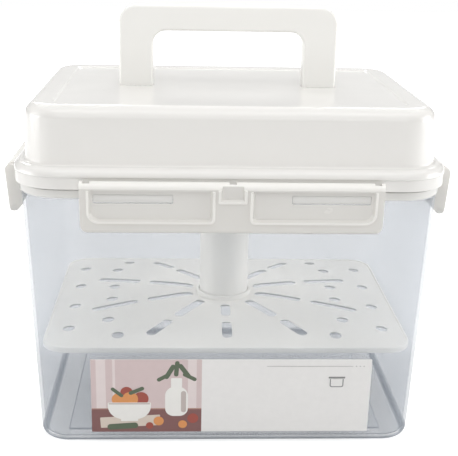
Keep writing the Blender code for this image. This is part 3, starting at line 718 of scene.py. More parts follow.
# Near the whitest a plastic can be: partly painted light, making up for light that the milky walls keep from the
# press.
PRESS_SATIN = MouldedFinish("press_satin", (0.950, 0.925, 0.875), 0.38)
SEAL_SOFT = MouldedFinish("seal_soft", (0.74, 0.74, 0.73), 0.60, glow=0.20)
DRAWN_WIRE = MouldedFinish("drawn_wire", (0.58, 0.58, 0.60), 0.28, metallic=1.0, wave_pitch=0.002)


class Ink(Enum):
    """The label's film and the inks of its plain still life, in linear colour."""

    FILM = (0.755, 0.745, 0.732)
    BACKDROP = (0.600, 0.490, 0.485)
    CURTAIN = (0.700, 0.620, 0.610)
    TABLE = (0.190, 0.085, 0.080)
    TABLE_EDGE = (0.400, 0.230, 0.190)
    CLOTH = (0.620, 0.540, 0.470)
    CHINA = (0.780, 0.770, 0.740)
    SHADE = (0.480, 0.420, 0.400)
    ORANGE = (0.640, 0.270, 0.090)
    BRICK = (0.310, 0.065, 0.045)
    LEAF = (0.085, 0.115, 0.070)
    GREY = (0.240, 0.240, 0.240)

    @property
    def finish(self) -> MouldedFinish:
        """The printed film in this ink."""
        return MouldedFinish("print_" + self.name.lower(), self.value, 0.42, drift=0.03, drift_pitch=0.004)


def seat(piece: bpy.types.Object, finish: Finish, body: str, slot: str, *nodes: str) -> bpy.types.Object:
    """Finishes a piece and hangs it on its body.

    Args:
        piece: The finished shape.
        finish: What it is made of.
        body: The body that it moves with.
        slot: The name of the material slot for its finish; not used.
        nodes: The solids that it stands for.

    Returns:
        The same piece.
    """
    piece.data.materials.clear()
    piece.data.materials.append(finish.material())
    piece.data.shade_smooth()
    piece.data.set_sharp_from_angle(angle=radians(SHARP_DEG))
    evened = piece.modifiers.new("Even shading", "WEIGHTED_NORMAL")
    evened.keep_sharp = True
    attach(piece, body)
    if nodes:
        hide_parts(*nodes)
    LOG.info("%s: %d faces, on %s", piece.name, len(piece.data.polygons), body)
    return piece


@dataclass(frozen=True)
class Hinge:
    """Where the lock flaps turn, and the slots and lugs that they share with the tub."""

    offset: float = 0.013517
    height: float = 0.1594
    long_flap: float = 0.1628
    short_flap: float = 0.1140
    barrel_radius: float = 0.0033
    rod_radius: float = 0.0014
    rod_clearance: float = 0.00035
    end_wall: float = 0.0018
    window_middle: float = 0.0106
    window_end: float = 0.0049
    window_depth: float = 0.0013
    slot_end: float = 0.0022
    slot_share: float = 0.645
    ear_width: float = 0.0030
    ear_height: float = 0.0024

    def length(self, side: Side) -> float:
        """The length of the flap on one side."""
        return self.long_flap if side in (Side.FRONT, Side.BACK) else self.short_flap

    def rod_half(self, length: float) -> float:
        """Half the length of the rod inside a flap."""
        return length / 2 - self.end_wall - self.rod_clearance

    def ear_places(self, length: float) -> tuple[float, float, float]:
        """Where the ears carry the rod: both ends and the middle."""
        end = self.rod_half(length) - self.ear_width / 2
        return (-end, 0.0, end)

    def window_span(self, length: float) -> Pair:
        """A window's inner and outer edge, from the flap's middle."""
        return self.window_middle, length / 2 - self.window_end

    def slot_span(self, length: float) -> Pair:
        """Works out where a slot is.

        Args:
            length: The flap's length.

        Returns:
            The slot's inner and outer edge, from the flap's middle.
        """
        inner, outer = self.window_span(length)
        end = outer - self.slot_end
        return end - (outer - inner) * self.slot_share, end

    def frame_at(self, side: Side, base: Footprint) -> Matrix:
        """Works out where a side's hinge axis is.

        Args:
            side: The side.
            base: The tub's base.

        Returns:
            The matrix that moves a piece there that was built towards the front, with the axis at the origin.
        """
        half = base.half_depth if side in (Side.FRONT, Side.BACK) else base.half_width
        turn = Matrix.Rotation(radians(side.value), 4, "Z")
        return turn @ Matrix.Translation((0.0, -half - self.offset, self.height))


@dataclass
class ClearTub:
    """The clear tub with its foot ring, rim band and lugs."""

    base: Footprint
    hinge: Hinge
    wall: float = 0.0018
    floor: float = 0.0024
    edge_radius: float = 0.0045
    foot_inset: float = 0.0160
    foot_recess: float = 0.0008
    band_low: float = 0.1513
    band_high: float = 0.1560
    band_step: float = 0.0008
    lug_height: float = 0.00475
    lug_gap: float = 0.00025
    lug_lead: float = 0.0009
    lug_back: float = 0.0007

    def shell(self) -> bpy.types.Object:
        """Sweeps the wall's outline round the base, from under the floor to the inside.

        Returns:
            The tub with its lugs.
        """
        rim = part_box("tub")[1].z
        slope = self.base.slope
        under = self.edge_radius
        outline = (
            Turn(-self.foot_inset, self.foot_recess), Turn(-self.foot_inset + self.foot_recess, 0.0),
            Turn(0.0, 0.0, under), Turn(self.band_low * slope, self.band_low, SOFT_ROUND),
            Turn(self.band_low * slope + self.band_step, self.band_low + self.band_step, EASED_ROUND),
            Turn(self.band_high * slope + self.band_step, self.band_high, CRISP_ROUND),
            Turn(self.band_high * slope, self.band_high),
            Turn(rim * slope, rim, SOFT_ROUND), Turn(rim * slope - self.wall, rim, SOFT_ROUND),
            Turn(self.floor * slope - self.wall, self.floor, under - self.wall),
            Turn(-self.foot_inset, self.floor),
        )
        tub = make_piece(self.base.sweep(outline, capped=True), "tub_shell")
        return combine(tub, self.lugs(), Cut.ADD)

    def lugs(self) -> list[bpy.types.Object]:
        """Makes the lugs that the flaps' slots snap over.

        Returns:
            The lugs, two a side.
        """
        slope = self.base.slope
        high = self.band_high
        low = high - self.lug_height
        made = []
        for side in Side:
            inner, outer = self.hinge.slot_span(self.hinge.length(side))
            root = self.hinge.offset - low * slope + self.wall / 2
            tip = self.hinge.barrel_radius - self.hinge.window_depth - PLAY - (self.hinge.height - low) * slope
            drop = self.hinge.height
            outline = box_turns((-tip, low - drop), (root, high - drop), (self.lug_lead, 0.0, 0.0, self.lug_back))
            for hand in (-1, 1):
                start, end = sorted((hand * (inner + self.lug_gap), hand * (outer - self.lug_gap)))
                made.append(place(solid(outline, start, end, Along.X), self.hinge.frame_at(side, self.base)))
        return made

    def build(self) -> None:
        """Makes the tub."""
        seat(self.shell(), CLEAR_WALL, "tub", "clear_plastic", "tub")


@dataclass(frozen=True)
class Patch:
    """A flat printed shape on the label: its ink, its box in metres and how its corners are rounded."""

    ink: Ink
    low: Pair
    high: Pair
    radii: Radii = (0.0, 0.0, 0.0, 0.0)
    turn_deg: float = 0.0


def oval(ink: Ink, middle: Pair, half: Pair, turn_deg: float = 0.0) -> Patch:
    """Describes a round or long printed shape by its middle and half sizes."""
    radius = min(half)
    return Patch(ink, (middle[0] - half[0], middle[1] - half[1]), (middle[0] + half[0], middle[1] + half[1]),
                 (radius,) * 4, turn_deg)


@dataclass
class FrontLabel:
    """The film on the tub's front, with a plain still life at its left and two small grey marks."""

    base: Footprint
    gap: float = 0.0003
    film: float = 0.00020
    layer: float = 0.000005
    picture_width: float = 0.0640
    table_height: float = 0.0150
    table_lip: float = 0.0007

    def place_at(self) -> Matrix:
        """Works out where the label's lower middle is on the leaning front wall.

        Returns:
            The matrix that moves a flat label there.
        """
        low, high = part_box("label")
        reach = self.base.half_depth + low.z * self.base.slope
        return (Matrix.Translation(((low.x + high.x) / 2, -reach, low.z))
                @ Matrix.Rotation(radians(self.base.draft_deg), 4, "X"))

    def picture(self, height: float) -> list[Patch]:
        """Lists the still life from back to front.

        Args:
            height: The label's height.

        Returns:
            The printed shapes, measured from the label's lower left corner.
        """
        wide, table = self.picture_width, self.table_height
        room = [
            Patch(Ink.BACKDROP, (0.0, 0.0), (wide, height)),
            Patch(Ink.CURTAIN, (0.0030, table), (0.0085, height)),
            Patch(Ink.CURTAIN, (0.0560, table), (0.0610, height)),
            Patch(Ink.CURTAIN, (0.0125, table), (0.0140, height)),
            Patch(Ink.TABLE, (0.0, 0.0), (wide, table)),
            Patch(Ink.TABLE_EDGE, (0.0, table), (wide, table + self.table_lip)),
            Patch(Ink.CLOTH, (0.0050, 0.0035), (0.0400, 0.0105), (0.0005,) * 4, 3.0),
        ]
        jug = [
            oval(Ink.LEAF, (0.0455, 0.0395), (0.0052, 0.0014), 60.0),
            oval(Ink.LEAF, (0.0495, 0.0415), (0.0050, 0.0013), 85.0),
            oval(Ink.LEAF, (0.0540, 0.0400), (0.0054, 0.0014), 125.0),
            oval(Ink.LEAF, (0.0420, 0.0360), (0.0044, 0.0012), 30.0),
            oval(Ink.LEAF, (0.0570, 0.0362), (0.0044, 0.0012), 152.0),
            Patch(Ink.CHINA, (0.0428, 0.0105), (0.0560, 0.0300), (0.0050, 0.0050, 0.0060, 0.0060)),
            Patch(Ink.CHINA, (0.0462, 0.0270), (0.0526, 0.0355), (0.0, 0.0, 0.0006, 0.0006)),
            Patch(Ink.SHADE, (0.0520, 0.0130), (0.0550, 0.0270), (0.0014,) * 4),
        ]
        bowl = [
            oval(Ink.ORANGE, (0.0160, 0.0215), (0.0042, 0.0042)),
            oval(Ink.BRICK, (0.0288, 0.0220), (0.0044, 0.0044)),
            oval(Ink.BRICK, (0.0205, 0.0262), (0.0036, 0.0036)),
            oval(Ink.ORANGE, (0.0225, 0.0218), (0.0046, 0.0046)),
            oval(Ink.LEAF, (0.0262, 0.0272), (0.0048, 0.0012), 24.0),
            oval(Ink.LEAF, (0.0150, 0.0262), (0.0044, 0.0011), 140.0),
            Patch(Ink.CHINA, (0.0095, 0.0085), (0.0345, 0.0195), (0.0088, 0.0088, 0.0004, 0.0004)),
            Patch(Ink.SHADE, (0.0100, 0.0183), (0.0340, 0.0191), (0.0003,) * 4),
            Patch(Ink.CHINA, (0.0170, 0.0072), (0.0270, 0.0090), (0.0004,) * 4),
        ]
        loose = [
            oval(Ink.LEAF, (0.0180, 0.0038), (0.0090, 0.0019), 4.0),
            oval(Ink.ORANGE, (0.0390, 0.0072), (0.0030, 0.0030)),
            oval(Ink.BRICK, (0.0590, 0.0090), (0.0032, 0.0032)),
            oval(Ink.BRICK, (0.0337, 0.0042), (0.0022, 0.0022)),
            oval(Ink.ORANGE, (0.0530, 0.0050), (0.0026, 0.0026)),
        ]
        return room + jug + bowl + loose

    def marks(self, width: float, height: float) -> list[Patch]:
        """Lists the grey rule with its dots and the small sign of a lidded box.

        Args:
            width: The label's width.
            height: The label's height.

        Returns:
            The printed shapes, measured from the label's lower left corner.
        """
        across, up = width - 0.0200, height - 0.0145
        rule = [Patch(Ink.GREY, (width - 0.0610, height - 0.0045), (width - 0.0110, height - 0.0043))]
        dots = [oval(Ink.GREY, (width - 0.0090 + step * 0.0022, height - 0.0044), (0.0003, 0.0003))
                for step in range(3)]
        sign = [
            Patch(Ink.GREY, (across - 0.0040, up - 0.0035), (across + 0.0040, up + 0.0018),
                  (0.0012, 0.0012, 0.0, 0.0)),
            Patch(Ink.FILM, (across - 0.0034, up - 0.0029), (across + 0.0034, up + 0.0018),
                  (0.0008, 0.0008, 0.0, 0.0)),
            Patch(Ink.GREY, (across - 0.0048, up + 0.0022), (across + 0.0048, up + 0.0033), (0.0003,) * 4),
        ]
        return rule + dots + sign

    def print_patch(self, patch: Patch, limit: float) -> bmesh.types.BMesh:
        """Draws a printed shape, turned about its middle and cut off at an edge.

        Args:
            patch: The shape.
            limit: How far right it may reach, which is the picture's edge or the label's.

        Returns:
            The shape as one flat mesh.
        """
        bm = outline_face(box_turns(patch.low, patch.high, patch.radii))
        middle = Vector(((patch.low[0] + patch.high[0]) / 2, 0.0, (patch.low[1] + patch.high[1]) / 2))
        turned = Matrix.Rotation(radians(-patch.turn_deg), 3, "Y")
        bmesh.ops.rotate(bm, verts=bm.verts[:], cent=middle, matrix=turned)
        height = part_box("label")[1].z
        for point, outward in (((0, 0, 0), (-1, 0, 0)), ((0, 0, 0), (0, 0, -1)), ((limit, 0, 0), (1, 0, 0)),
                               ((0, 0, height), (0, 0, 1))):
            bmesh.ops.bisect_plane(bm, geom=bm.verts[:] + bm.edges[:] + bm.faces[:], dist=WELD, plane_co=point,
                                   plane_no=outward, clear_outer=True)
        return bm

    def build(self) -> None:
        """Makes the film and prints the shapes on it, each a hair's breadth above the last."""
        low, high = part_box("label")
        width = high.x - low.x
        height = (high.z - low.z) / cos(radians(self.base.draft_deg))
        film = solid(box_turns((0.0, 0.0), (width, height), (SOFT_ROUND,) * 4), -self.gap - self.film, -self.gap,
                     name="label_film")
        inks = list(Ink)
        art = bmesh.new()
        patches = self.picture(height) + self.marks(width, height)
        for number, patch in enumerate(patches, 1):
            inside = self.picture_width if patch.high[0] <= self.picture_width + WELD else width
            bm = self.print_patch(patch, inside)
            lift = -self.gap - self.film - number * self.layer
            bmesh.ops.translate(bm, verts=bm.verts[:], vec=(0.0, lift, 0.0))
            for face in bm.faces:
                face.material_index = inks.index(patch.ink)
                if face.normal.y > 0.0:
                    face.normal_flip()
            flat = bpy.data.meshes.new("patch")
            bm.to_mesh(flat)
            bm.free()
            art.from_mesh(flat)
            bpy.data.meshes.remove(flat)
        printed = make_piece(art, "label_print")
        for piece in (film, printed):
            place(piece, self.place_at() @ Matrix.Translation((-width / 2, 0.0, 0.0)))
        seat(film, Ink.FILM.finish, "tub", "label_film", "label")
        for ink in inks:
            printed.data.materials.append(ink.finish.material())
        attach(printed, "tub")
        LOG.info("%s: %d shapes in %d inks", printed.name, len(patches), len(inks))


@dataclass
class DomedLid:
    """The white lid: stacking panel, dome, flange, skirt, sealing channel and hinge rods."""

    base: Footprint
    hinge: Hinge
    wall: float = 0.0020
    top_wall: float = 0.0022
    skirt_inner: float = 0.008017
    skirt_outer: float = 0.009717
    skirt_low: float = 0.1568
    skirt_high: float = 0.1638
    flange_step: float = 0.0005
    flange_lip: float = 0.0001
    flange_under: float = 0.0006
    flange_top: float = 0.1685
    dome_foot: float = 0.003717
    dome_draft: float = 0.0011
    dome_edge: float = 0.0072
    foot_fillet: float = 0.0015
    panel_inset: float = 0.0160
    panel_recess: float = 0.0008
    panel_bevel: float = 0.0010
    plug_outer: float = 0.003930
    plug_inner: float = 0.002130
    plug_low: float = 0.1520
    channel_top: float = 0.1659
    boss_radius: float = 0.0108
    boss_bore: float = 0.0093
    boss_length: float = 0.0120
    handle_leg: float = 0.0202
    tab_width: float = 0.0106
    tab_depth: float = 0.0086
    seal_width: float = 0.0026
    seal_round: float = 0.0009

    @property
    def top(self) -> float:
        """The height of the dome's raised border."""
        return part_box("lid_shell")[1].z

    @property
    def ceiling(self) -> float:
        """The height of the dome's inner face."""
        return self.top - self.panel_recess - self.top_wall

    def shell(self) -> bpy.types.Object:
        """Sweeps the lid's outline round the base, from the panel over the skirt to the ceiling.

        Returns:
            The lid without its boss and rods.
        """
        top_edge = self.dome_foot - self.dome_draft
        panel = top_edge - self.panel_inset
        flange = self.skirt_outer + self.flange_step
        shoulder = self.flange_top - self.skirt_high
        inner = self.dome_foot - self.wall
        under = self.flange_top - self.wall
        outline = (
            Turn(panel - self.wall, self.top - self.panel_recess),
            Turn(panel, self.top - self.panel_recess, SOFT_ROUND),
            Turn(panel + self.panel_bevel, self.top, SOFT_ROUND), Turn(top_edge, self.top, self.dome_edge),
            Turn(self.dome_foot, self.flange_top, self.foot_fillet), Turn(flange, self.flange_top, shoulder),
            Turn(flange, self.skirt_high - self.flange_lip),
            Turn(self.skirt_outer, self.skirt_high - self.flange_under),
            Turn(self.skirt_outer, self.skirt_low, EASED_ROUND), Turn(self.skirt_inner, self.skirt_low, EASED_ROUND),
            Turn(self.skirt_inner, self.channel_top), Turn(self.plug_outer, self.channel_top),
            Turn(self.plug_outer, self.plug_low, EASED_ROUND), Turn(self.plug_inner, self.plug_low, EASED_ROUND),
            Turn(self.plug_inner, under, EASED_ROUND), Turn(inner, under + self.foot_fillet, FULL_ROUND),
            Turn(top_edge - self.wall, self.ceiling, self.dome_edge - self.wall),
            Turn(panel - self.wall, self.ceiling),
        )
        return make_piece(self.base.sweep(outline, capped=True), "lid_cover")

    def hinge_rods(self) -> list[bpy.types.Object]:
        """Makes the rods and ears that carry the flaps.

        Returns:
            Each side's rod, followed by its three ears.
        """
        made = []
        radius = self.hinge.rod_radius
        for side in Side:
            length = self.hinge.length(side)
            half = self.hinge.rod_half(length)
            place_at = self.hinge.frame_at(side, self.base)
            made.append(place(solid(round_turns(radius), -half, half, Along.X), place_at))
            reach = self.hinge.offset - self.skirt_outer + self.wall / 2
            for middle in self.hinge.ear_places(length):
                wide = self.hinge.ear_width / 2
                tall = self.hinge.ear_height / 2
                made.append(place(block((middle - wide, 0.0, -tall), (middle + wide, reach, tall)), place_at))
        return made

    def build(self) -> None:
        """Makes the lid with its boss, hinge rods and the slots for the handle's tabs."""
        lid = self.shell()
        boss = make_piece(spin_full(box_turns((self.boss_bore, self.ceiling - self.boss_length),
                                              (self.boss_radius, self.ceiling + self.top_wall / 2),
                                              (EASED_ROUND, EASED_ROUND, 0.0, 0.0))), "boss")
        combine(lid, [boss] + self.hinge_rods(), Cut.ADD)
        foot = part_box("handle")[1].x - self.handle_leg / 2
        slots = []
        for hand in (-1, 1):
            slots.append(block((hand * foot - self.tab_width / 2, -self.tab_depth / 2, self.ceiling - OVERRUN),
                               (hand * foot + self.tab_width / 2, self.tab_depth / 2, self.top + OVERRUN)))
        combine(lid, slots, Cut.REMOVE)
        seat(lid, LID_GLOSS, "lid", "lid_plastic", "lid_shell")
        self.build_seal()

    def build_seal(self) -> None:
        """Makes the soft seal at the top of the lid's channel."""
        low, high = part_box("lid_gasket")
        outer = high.x - self.base.half_width
        outline = box_turns((outer - self.seal_width, low.z), (outer, high.z),
                            (self.seal_round, self.seal_round, CRISP_ROUND, CRISP_ROUND))
        seat(make_piece(self.base.sweep(outline), "lid_seal"), SEAL_SOFT, "lid", "seal_silicone", "lid_gasket")


@dataclass
class CarryHandle:
    """The fixed arch on the lid, held by a barbed tab under each foot."""

    leg: float = 0.0202
    grip: float = 0.0149
    outer_radius: float = 0.0105
    inner_radius: float = 0.0080
    edge: float = 0.0016
    edge_from_deg: float = 60.0
    edge_steps: int = 4
    foot_height: float = 0.19975
    tab_width: float = 0.0100
    tab_depth: float = 0.0080
    tab_root: float = 0.0030
    catch_height: float = 0.0036
    barb: float = 0.0012

    def build(self) -> None:
        """Makes the arch, rounds its edges and adds the tabs."""
        low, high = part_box("handle")
        half = high.x
        window = half - self.leg
        ceiling = high.z - self.grip
        outline = (
            Turn(-half, self.foot_height), Turn(-half, high.z, self.outer_radius),
            Turn(half, high.z, self.outer_radius), Turn(half, self.foot_height),
            Turn(window, self.foot_height), Turn(window, ceiling, self.inner_radius),
            Turn(-window, ceiling, self.inner_radius), Turn(-window, self.foot_height),
        )
        bm = push(outline_face(outline), (0.0, high.y - low.y, 0.0))
        bmesh.ops.translate(bm, verts=bm.verts[:], vec=(0.0, low.y, 0.0))
        rounded = [edge for edge in bm.edges if edge.calc_face_angle(0.0) > radians(self.edge_from_deg)
                   and max(vert.co.z for vert in edge.verts) > self.foot_height + WELD]
        round_off(bm, rounded, self.edge, self.edge_steps)
        handle = make_piece(bm, "carry_handle")
        combine(handle, self.tabs(low.z, half), Cut.ADD)
        seat(handle, HANDLE_SATIN, "lid", "handle_plastic", "handle")

    def tabs(self, tip: float, half: float) -> list[bpy.types.Object]:
        """Makes the barbed tab under each foot.

        Args:
            tip: The height of the tabs' tips.
            half: Half the handle's width.

        Returns:
            The two tabs.
        """
        catch = tip + self.catch_height
        root = self.foot_height + self.tab_root
        made = []
        for hand in (-1, 1):
            middle = hand * (half - self.leg / 2)
            left = middle - self.tab_width / 2
            right = middle + self.tab_width / 2
            outline = (
                Turn(left, root), Turn(left, catch), Turn(left - self.barb, catch),
                Turn(left + self.barb, tip), Turn(right - self.barb, tip), Turn(right + self.barb, catch),
                Turn(right, catch), Turn(right, root),
            )
            made.append(solid(outline, -self.tab_depth / 2, self.tab_depth / 2))
        return made


@dataclass
class LockFlaps:
    """The four flaps, each with two framed windows, two lug slots and a finger pocket."""

    base: Footprint
    hinge: Hinge
    drop: float = 0.0252
    reach: float = 0.0046
    wall: float = 0.0022
    lean_deg: float = 2.0
    tip_radius: float = 0.0022
    tip_slant_deg: float = 45.0
    tip_spare: float = 0.0005
    barrel_flat: float = 0.0010
    reach_drop: float = 0.0005
    corner_radius: float = 0.0060
    lip: float = 0.0023
    window_drop: float = 0.0008
    window_height: float = 0.0174
    window_outer: float = 0.0050
    window_inner: float = 0.0016
    window_taper: float = 0.0011
    taper_share: float = 0.12
    bead_width: float = 0.0013
    bead_height: float = 0.0007
    bead_corner: float = 0.0010
    bead_soft: float = 0.00045
    # Share of the bead's height from which its faces get the painted highlight.
    highlight_bead_share: float = 0.25
    slot_drop: float = 0.0032
    slot_height: float = 0.0052
    pocket_width: float = 0.0130
    pocket_rise: float = 0.0022
    pocket_height: float = 0.0088
    pocket_depth: float = 0.0007
    pocket_corner: float = 0.0005
    bay_corner: float = 0.0010
    bay_steps: int = 16
    rib: float = 0.0014
    mouth: float = 0.0023
    ear_skin: float = 0.0015
    ear_clearance: float = 0.0004
    edge: float = 0.0005
    edge_from_deg: float = 50.0
    edge_steps: int = 3

    def end_view(self) -> list[Turn]:
        """Lists the flap's end view: the barrel, the round tip and the slant behind it.

        Returns:
            The corners, from the barrel's rear round its top and down the front face.
        """
        barrel = self.hinge.barrel_radius
        across = barrel - self.tip_radius
        up = self.tip_radius - self.drop
        swing = radians(90.0 + self.tip_slant_deg)
        far = self.tip_radius / cos(swing / 4)
        tip = [Turn(across + far * cos(swing * share), up - far * sin(swing * share), self.tip_radius)
               for share in (0.25, 0.75)]
        rise = (across + self.tip_radius * cos(swing) + self.reach) * tan(radians(self.tip_slant_deg))
        rear = up - self.tip_radius * sin(swing) + rise
        return [Turn(-barrel, self.barrel_flat - barrel), Turn(-barrel, barrel, barrel),
                Turn(barrel, barrel, barrel), *tip, Turn(-self.reach, rear, FULL_ROUND),
                Turn(-self.reach, -barrel - self.reach_drop, EASED_ROUND)]

    def blank(self, length: float, name: str) -> bpy.types.Object:
        """Makes the flap's outer form from its end view and its front view.

        Args:
            length: The flap's length.
            name: The piece's name.

        Returns:
            The flap without its details and hollows.
        """
        barrel = self.hinge.barrel_radius
        mirrored = [Turn(-turn.across, turn.up, turn.radius) for turn in self.end_view()]
        flap = solid(mirrored, -length / 2 - OVERRUN, length / 2 + OVERRUN, Along.X, name)
        radius = self.corner_radius
        front_view = box_turns((-length / 2, -self.drop - self.tip_spare), (length / 2, barrel + OVERRUN),
                               (radius, radius, 0.0, 0.0))
        combine(flap, [solid(front_view, -barrel - OVERRUN, self.reach + OVERRUN)], Cut.KEEP)
        return soften(flap, self.edge, self.edge_from_deg, self.edge_steps)

    def recess(self, low: Pair, high: Pair, radii: Sequence[float], depth: float) -> bpy.types.Object:
        """Makes a recess's cutter, wider at the flap's face than at its floor by the taper.

        Args:
            low: The recess's lower left corner on the face.
            high: Its upper right corner.
            radii: The radii of its four corners.
            depth: How deep it goes behind the face.

        Returns:
            The cutter.
        """
        face = -self.hinge.barrel_radius
        floor = face + depth
        cutter = solid(box_turns(low, high, radii), face, floor)
        wide, tall = high[0] - low[0], high[1] - low[1]
        taper = min(self.window_taper, self.taper_share * tall)
        deep = Matrix.Diagonal((1 - 2 * taper / wide, 1.0, 1 - taper / tall, 1.0))
        pivot = Matrix.Translation(((low[0] + high[0]) / 2, 0.0, high[1]))
        shrink = pivot @ deep @ pivot.inverted()
        for vert in cutter.data.vertices:
            if vert.co.y > floor - WELD:
                vert.co = shrink @ vert.co
            else:
                vert.co.y -= self.bead_height + CUTTER_GAP
        return cutter

    def front_details(self, length: float) -> tuple[list[bpy.types.Object], list[bpy.types.Object]]:
        """Makes the raised beads, open at the top, and the recesses inside them.

        Args:
            length: The flap's length.

        Returns:
            The solids to add and the solids to cut.
        """
        face = -self.hinge.barrel_radius
        inner, outer = self.hinge.window_span(length)
        top = -self.window_drop
        bottom = top - self.window_height
        rim = self.bead_width
        added = []
        cut = []
        for hand in (-1, 1):
            low, high = sorted((hand * inner, hand * outer))
            near, far = self.window_inner, self.window_outer
            radii = (near, far, 0.0, 0.0) if hand > 0 else (far, near, 0.0, 0.0)
            wide = [radius + rim if radius else 0.0 for radius in radii]
            frame_turns = box_turns((low - rim, bottom - rim), (high + rim, top), wide)
            added.append(solid(frame_turns, face - self.bead_height, face + self.wall / 2, soft=self.bead_soft))
            cut.append(self.recess((low, bottom), (high, top), radii, self.hinge.window_depth))
        half = self.pocket_width / 2
        low = self.pocket_rise - self.pocket_height
        frame_turns = box_turns((-half - rim, low - rim), (half + rim, 0.0),
                                (self.bead_corner, self.bead_corner, 0.0, 0.0))
        added.append(solid(frame_turns, face - self.bead_height, face + self.wall / 2, soft=self.bead_soft))
        cut.append(self.recess((-half, low), (half, self.pocket_rise),
                               (self.pocket_corner, self.pocket_corner, 0.0, 0.0), self.pocket_depth))
        return added, cut

    def hollows(self, length: float) -> list[bpy.types.Object]:
        """Makes what is cut from behind.

        Args:
            length: The flap's length.

        Returns:
            The rod's bore and mouth, the bays, the lug slots and the ear gaps.
        """
        half = length / 2
        barrel = self.hinge.barrel_radius
        back = self.reach + OVERRUN
        bore = self.hinge.rod_half(length) + self.hinge.rod_clearance
        radius = self.hinge.rod_radius + self.hinge.rod_clearance
        made = [solid(round_turns(radius), -bore, bore, Along.X),
                block((-bore, 0.0, -self.mouth / 2), (bore, back, self.mouth / 2))]
        wall = self.wall - barrel
        floor = self.lip - self.drop
        roof = -self.mouth / 4
        first = asin(roof / barrel)
        last = -acos(wall / barrel)
        swings = [first + (last - first) * step / self.bay_steps for step in range(self.bay_steps + 1)]
        under = [Turn(barrel * cos(swing), barrel * sin(swing)) for swing in swings]
        bay = [Turn(wall, floor, self.bay_corner), Turn(back, floor), Turn(back, roof)] + under
        rib_in = self.hinge.window_middle
        rib_out = rib_in + self.rib
        bay_end = half - self.hinge.end_wall
        for start, end in ((-bay_end, -rib_out), (-rib_in, rib_in), (rib_out, bay_end)):
            made.append(solid(bay, start, end, Along.X))
        inner, outer = self.hinge.slot_span(length)
        for hand in (-1, 1):
            start, end = sorted((hand * inner, hand * outer))
            slot = box_turns((start, -self.slot_drop - self.slot_height), (end, -self.slot_drop),
                             (SOFT_ROUND,) * 4)
            made.append(solid(slot, -barrel - OVERRUN, wall + OVERRUN))
        gap = self.hinge.ear_width / 2 + self.ear_clearance
        for middle in self.hinge.ear_places(length):
            start = max(middle - gap, -bore)
            end = min(middle + gap, bore)
            made.append(block((start, self.ear_skin - barrel, -self.hinge.ear_height / 2 - self.ear_clearance),
                              (end, back, barrel + OVERRUN)))
        return made

    def build(self) -> None:
        """Makes each side's flap and hangs it on its rod, leaning with the wall."""
        for side in Side:
            length = self.hinge.length(side)
            flap = self.blank(length, side.word + "_flap")
            added, cut = self.front_details(length)
            combine(flap, added, Cut.ADD)
            combine(flap, cut, Cut.REMOVE)
            combine(flap, self.hollows(length), Cut.REMOVE)
            # Painted highlight: the beads' top faces and the barrel's upper half get the lighter copy of the flap's
            # finish.
            proud = -self.hinge.barrel_radius - self.bead_height * self.highlight_bead_share
            painted_highlight_faces = [face.index for face in flap.data.polygons
                      if face.center.y < proud or face.center.z > 0.0]
            lean = Matrix.Rotation(radians(self.base.draft_deg + self.lean_deg), 4, "X")
            place(flap, self.hinge.frame_at(side, self.base) @ lean)
            seat(flap, FLAP_SATIN, side.word + "_lock", "flap_plastic", "flap_" + side.word)
            flap.data.materials.append(FLAP_PAINTED_HIGHLIGHT.material())
            for index in painted_highlight_faces:
                flap.data.polygons[index].material_index = 1


